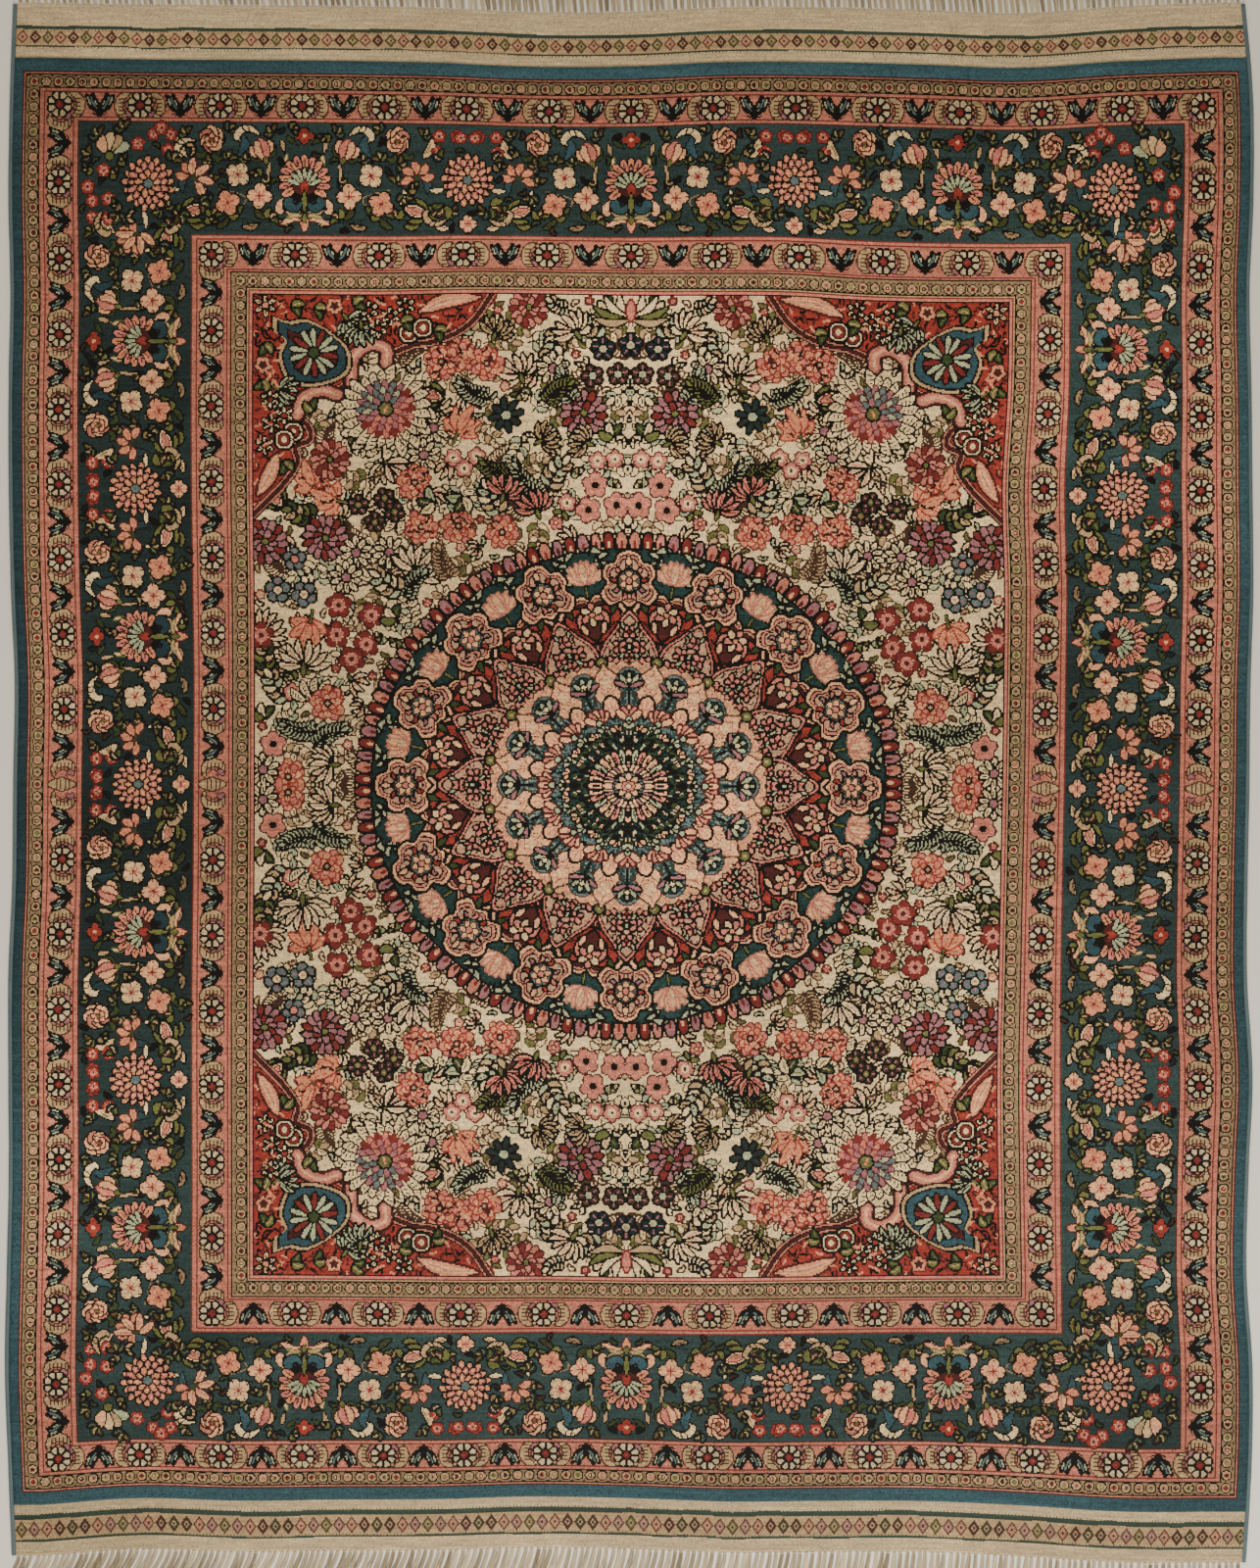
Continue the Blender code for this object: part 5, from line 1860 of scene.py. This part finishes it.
cordPlan = {                 # metres
    "seed": 40,
    "sides": 10,
    "step": 0.008,           # between its rings
    "shorter": 0.0005,       # than the weaving, at each end
    "uneven": 0.05,          # share that it is thicker or thinner
    "turn": 0.0016,          # from one turn of the wrapping yarn to the next
    "relief": 0.0004,
    # painted shade in the groove of each turn of the yarn
    "paintedTurnShade": (0.72, 1.1),
    "fibreShade": (0.75, 1.2),
    "colours": ((70, 92, 98), (112, 128, 126)),
}


# The cords' material: one wave of a sine along the cord is one turn of the yarn; the colour darkens in the
# groove of each turn, as painted shade.
def makeCordFinish():
    finish = Finish("wrappedSilk")
    _, v = finish.place("wrap")
    turns = finish.maths("SINE", finish.maths("MULTIPLY", v, 2 * np.pi / cordPlan["turn"]))
    lots = finish.noise(14.0, 3.0)
    fibres = finish.noise(260.0, 2.0)
    colour = finish.mixed(finish.between(lots, 0.1, 0.9), *(flat(c) for c in cordPlan["colours"]))
    # The turns darken the colour in their grooves: painted shade.
    shade = finish.maths("MULTIPLY", finish.between(turns, *cordPlan["paintedTurnShade"]),
                         finish.between(fibres, *cordPlan["fibreShade"]))
    colour = finish.mixed(1.0, colour, shade, "MULTIPLY")
    normal = finish.bump(turns, reliefStrength, cordPlan["relief"])
    return finish.set(Base_Color=colour, Roughness=0.6, Normal=normal, Sheen_Weight=0.2,
                      Sheen_Roughness=sheenRoughness, Specular_IOR_Level=0.25)


# A wrapped side cord: an oval ring carried along the edge, thicker and thinner by a soft noise,
# with each end closed by one face.
def makeCord(name, side, finish):
    chance = np.random.default_rng(cordPlan["seed"] + side)
    cornerX = side * chartPlan["halfWidth"] / 1000
    low = wovenEnd(cornerX, -1) + cordPlan["shorter"]
    high = wovenEnd(cornerX, 1) - cordPlan["shorter"]
    count = int((high - low) / cordPlan["step"])
    y = np.linspace(low, high, count + 1)
    turn = 2 * np.pi * np.arange(cordPlan["sides"]) / cordPlan["sides"]
    thick = 1 + cordPlan["uneven"] * softNoise(chance, count + 1, 1, 6, 1)[:, 0]
    centre = sideEdge(y, side) - side * carpet["cordWidth"] / 2
    x = centre[:, None] + np.cos(turn) * (carpet["cordWidth"] / 2 * np.minimum(thick, 1.0))[:, None]
    z = carpet["cordHeight"] / 2 * (1 + np.sin(turn)) * thick[:, None]
    points = np.stack([x + shiftX, np.repeat(y[:, None], len(turn), axis=1) + shiftY, z], axis=-1)
    index = np.arange(points.size // 3).reshape(count + 1, len(turn))
    beside = np.roll(index, -1, axis=1)
    faces = np.stack([index[:-1], index[1:], beside[1:], beside[:-1]], axis=-1).reshape(-1, 4)
    corners = np.concatenate([faces.ravel(), index[0], index[-1][::-1]])
    sizes = np.concatenate([np.full(len(faces), 4), [len(turn)] * 2])
    mesh = newMesh(name, points.reshape(-1, 3), sizes, corners)
    around = np.arange(len(turn)) / len(turn)
    u = np.stack([around, around, around + 1 / len(turn), around + 1 / len(turn)], axis=-1)
    u = np.tile(u, (count, 1)).reshape(-1, 4)
    v = np.stack([y[:-1], y[1:], y[1:], y[:-1]], axis=-1).repeat(len(turn), axis=0)
    caps = np.column_stack([np.tile(around, 2), np.repeat([low, high], len(turn))])
    addMap(mesh, "wrap", np.concatenate([np.stack([u, v], axis=-1).reshape(-1, 2), caps]))
    mesh.validate()
    return newPiece(name, mesh, finish, smooth=True)


cordFinish = makeCordFinish()
cordPieces = [makeCord("wrappedCordLeft", -1, cordFinish), makeCord("wrappedCordRight", 1, cordFinish)]
print("side cords made")


fringePlan = {               # metres
    "seed": 61,
    "tassels": 196,          # at each end
    "strands": 5,
    "steps": 8,
    "strandWidth": 0.0023,
    "taper": (0.9, 1.0, 1.05, 1.05, 1.0, 0.95, 0.85, 0.7, 0.4),      # shares of it, root to tip
    "spread": 0.0100,        # how far a tassel's strands part at their tips
    "rootStray": 0.13,       # share of the pitch that a knot is out of place
    "leanStray": 0.0022,
    "strandStray": 0.0010,
    "wave": 0.0011,
    "layer": 0.0004,         # how far the strands lie over each other at the knot
    "knot": (0.0042, 0.0036, 0.0030),
    "knotWider": 1.5,
    "strip": 0.0045,
    "shorter": 0.010,        # the most that a tassel is shorter than the fringe
    "strandShorter": 0.09,   # and the share that a strand is shorter than its tassel
    "relief": 0.0006,
    # the dark tone and the pale tone of the warps; the dark one is painted shade for the shadowed gaps
    # between strands
    "paleAndShadedTones": ((84, 66, 44), (218, 200, 162)),
}


# The fringe's material: between a dark tone and a pale one, by the strand and by long fibres; the tone
# differs at random, and the darkest strands are painted shade for the shadowed gaps between strands.
def makeFringeFinish():
    finish = Finish("silkWarps")
    tone = finish.attribute("tone", "Fac")
    fibres = finish.noise(240.0, 3.0, stretch=(1.0, 0.12, 1.0))
    mix = finish.maths("ADD", finish.maths("MULTIPLY", tone, 0.6), finish.maths("MULTIPLY", fibres, 0.5))
    colour = finish.mixed(mix, *(flat(c) for c in fringePlan["paleAndShadedTones"]))
    normal = finish.bump(fibres, 0.5, fringePlan["relief"])
    return finish.set(Base_Color=colour, Roughness=0.6, Normal=normal, Sheen_Weight=0.2,
                      Sheen_Roughness=sheenRoughness, Specular_IOR_Level=0.3)


# A fringe: at each root a knot, an ellipsoid; from it strands of four sides run outwards, each a
# line that leans more and more, spreads from its neighbours and thins towards its tip.
def makeFringe(name, end, finish):
    chance = np.random.default_rng(fringePlan["seed"] + end)
    tassels, strands, steps = (fringePlan[k] for k in ("tassels", "strands", "steps"))
    column = 0 if end < 0 else 1
    cornerX = chartPlan["halfWidth"] / 1000
    corner = wovenEnd(np.array([-cornerX, cornerX]), end)
    left, right = weaveEdge(corner[0], -1), weaveEdge(corner[1], 1)
    pitch, stray = (right - left) / tassels, fringePlan["rootStray"]
    rootX = left + pitch * (np.arange(tassels) + 0.5 + chance.uniform(-stray, stray, tassels))
    rootY = wovenEnd(rootX, end) + end * fringePlan["strip"] * 0.5
    lean = smoothTable(rootX, leanStep, [r[column] for r in fringeLean])
    lean = lean + chance.normal(0, fringePlan["leanStray"], tassels)
    length = (carpet["fringeLength"] - fringePlan["strip"] * 0.5
              - fringePlan["shorter"] * chance.random(tassels) ** 2)

    t = np.linspace(0, 1, steps + 1)
    each = (tassels, strands, 1)
    number = np.arange(strands) - (strands - 1) / 2
    spread = number / (strands - 1) * fringePlan["spread"]
    wave = chance.normal(0, fringePlan["wave"], each) * np.sin(t * 3.0 + chance.uniform(0, 6, each))
    x = (rootX[:, None, None] + lean[:, None, None] * t ** 1.4
         + (spread[None, :, None] * (0.45 + 0.55 * t)) + wave * t
         + chance.normal(0, fringePlan["strandStray"], each) * t)
    strandLength = length[:, None, None] * (1 - fringePlan["strandShorter"] * chance.random(each))
    y = rootY[:, None, None] + end * strandLength * t
    half = fringePlan["strandWidth"] / 2 * np.array(fringePlan["taper"])
    layer = fringePlan["layer"] * (1 + np.sin(number * 2.1))
    middle = half + layer[None, :, None] * (1 - t) + 0 * x
    ring = np.array([[1, 0], [0, 1], [-1, 0], [0, -1]])
    points = np.stack([x[..., None] + half[:, None] * ring[:, 0], np.repeat(y[..., None], 4, axis=-1),
                       middle[..., None] + half[:, None] * ring[:, 1] * 0.9], axis=-1)
    index = np.arange(points.size // 3).reshape(tassels * strands, steps + 1, 4)
    beside = np.roll(index, -1, axis=-1)
    faces = np.stack([index[:, :-1], beside[:, :-1], beside[:, 1:], index[:, 1:]], axis=-1)
    caps = np.stack([index[:, 0, ::-1], index[:, -1]], axis=1)
    strandFaces = np.concatenate([faces.reshape(tassels * strands, -1, 4), caps], axis=1)
    if end > 0:
        strandFaces = strandFaces[..., ::-1]
    tone = chance.normal(0.5, 0.28, (tassels, 1)) + chance.normal(0, 0.18, (tassels, strands))
    tone = np.repeat(np.clip(tone, 0, 1), strandFaces.shape[1])

    # Knots: three rings of six points between two poles.
    sides = 6
    around = 2 * np.pi * np.arange(sides) / sides
    heights = np.array([-0.55, 0.0, 0.55])
    radii = np.sqrt(1 - heights ** 2)
    rings = np.stack([radii[:, None] * np.cos(around), radii[:, None] * np.sin(around),
                      np.repeat(heights[:, None], sides, axis=1)], axis=-1)
    unit = np.concatenate([[[0, 0, -1]], rings.reshape(-1, 3), [[0, 0, 1]]])
    uneven = 1 + 0.15 * chance.standard_normal((tassels, 1)).clip(-1.5, 1.5)
    sizes = np.array(fringePlan["knot"]) / 2 * uneven
    knots = unit[None] * sizes[:, None]
    knots[..., 0] *= fringePlan["knotWider"]
    knots += np.stack([rootX, rootY, sizes[:, 2]], axis=-1)[:, None]
    low = 1 + np.arange(sides)
    following = np.roll(low, -1)
    quads = np.concatenate([np.stack([low, following, following + sides, low + sides], axis=-1) + sides * k
                            for k in (0, 1)])
    poles = np.concatenate([np.stack([np.zeros(sides, int), following, low], axis=-1),
                            np.stack([np.full(sides, len(unit) - 1), low + 2 * sides, following + 2 * sides],
                                     axis=-1)])
    start = points.size // 3 + len(unit) * np.arange(tassels)[:, None, None]
    quads, poles = quads[None] + start, poles[None] + start
    allPoints = np.concatenate([points.reshape(-1, 3), knots.reshape(-1, 3)]) + (shiftX, shiftY, 0)
    faceSizes = np.concatenate([np.full(strandFaces.size // 4, 4), np.full(quads.size // 4, 4),
                                np.full(poles.size // 3, 3)])
    corners = np.concatenate([strandFaces.ravel(), quads.ravel(), poles.ravel()])
    mesh = newMesh(name, allPoints, faceSizes, corners)
    knotTone = chance.uniform(0.55, 1.0, tassels)
    paleAndShadedTones = np.concatenate([tone, np.repeat(knotTone, quads.shape[1]), np.repeat(knotTone, poles.shape[1])])
    mesh.attributes.new("tone", "FLOAT", "FACE").data.foreach_set("value", paleAndShadedTones)
    mesh.validate()
    return newPiece(name, mesh, finish)


fringeFinish = makeFringeFinish()
fringePieces = [makeFringe("knottedFringeBottom", -1, fringeFinish),
                makeFringe("knottedFringeTop", 1, fringeFinish)]
print("fringes made")

for piece in pileStrips + endPieces:
    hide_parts("carpet")
for piece, node in zip(cordPieces, ("selvedge_left", "selvedge_right")):
    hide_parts(node)
for piece, node in zip(fringePieces, ("fringe_bottom", "fringe_top")):
    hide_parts(node)
for piece in pileStrips + endPieces + cordPieces + fringePieces:
    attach(piece, "root")


studio = {
    "floor": (226, 219, 204),
    "photo": (1286, 1600),
    "pixel": 0.001944,       # metres of carpet to one pixel of the photo
    "middle": (643.0, 800.0),    # the photo's middle, in its pixels
    "carpetMiddle": (643.0, 798.5),
    "lens": 70.0,
    "sensor": 36.0,
    "floorHalf": 6.0,        # metres
    "floorDrop": 0.0006,
    "lights": (              # name, place, aim, size, power, colour
        ("keyLight", (0.8, -3.2, 3.6), (0, -0.2, 0), 1.6, 200.0, (1.0, 0.985, 0.95)),
        ("fillLight", (-1.5, 3.5, 5.0), (0, 0, 0), 4.0, 60.0, (1.0, 0.90, 0.78)),
    ),
    "sky": (1.0, 0.955, 0.88, 1),
    "skyStrength": 0.55,
}


# A plain pale floor, just below the carpet.
def makeFloor():
    half, drop = studio["floorHalf"], -studio["floorDrop"]
    corners = np.array([[-half, -half, drop], [half, -half, drop], [half, half, drop], [-half, half, drop]])
    mesh = newMesh("floor", corners, [4], np.arange(4))
    finish = Finish("paleFloor")
    tone = finish.noise(1.2, 3.0)
    colour = finish.mixed(finish.between(tone, 0.0, 0.12), flat(studio["floor"]), (0.5, 0.5, 0.5, 1))
    floor = newPiece("floor", mesh, finish.set(Base_Color=colour, Roughness=0.7))


# A round lamp that points at its aim.
def addLight(name, place, aim, size, power, colour):
    data = bpy.data.lights.new(name, "AREA")
    data.shape, data.size, data.energy, data.color = "DISK", size, power, colour
    lamp = bpy.data.objects.new(name, data)
    bpy.context.scene.collection.objects.link(lamp)
    lamp.location = place
    lamp.rotation_euler = (Vector(aim) - Vector(place)).to_track_quat("-Z", "Y").to_euler()


makeFloor()
for light in studio["lights"]:
    addLight(*light)
world = bpy.data.worlds.new("studio")
bpy.context.scene.world = world
world.use_nodes = True
sky = world.node_tree.nodes["Background"]
sky.inputs[0].default_value = studio["sky"]
sky.inputs[1].default_value = studio["skyStrength"]


# The camera looks straight down. Its distance is half the photo's height in metres over the
# tangent of half the lens's angle.
def addCamera():
    data = bpy.data.cameras.new("camera")
    data.lens, data.sensor_width = studio["lens"], studio["sensor"]
    camera = bpy.data.objects.new("camera", data)
    bpy.context.scene.collection.objects.link(camera)
    height = studio["photo"][1] * studio["pixel"] / 2 / (studio["sensor"] / 2 / studio["lens"])
    across = (studio["middle"][0] - studio["carpetMiddle"][0]) * studio["pixel"]
    along = (studio["carpetMiddle"][1] - studio["middle"][1]) * studio["pixel"]
    camera.location = (across + shiftX, along + shiftY, height + carpet["pileHeight"])
    bpy.context.scene.camera = camera


addCamera()
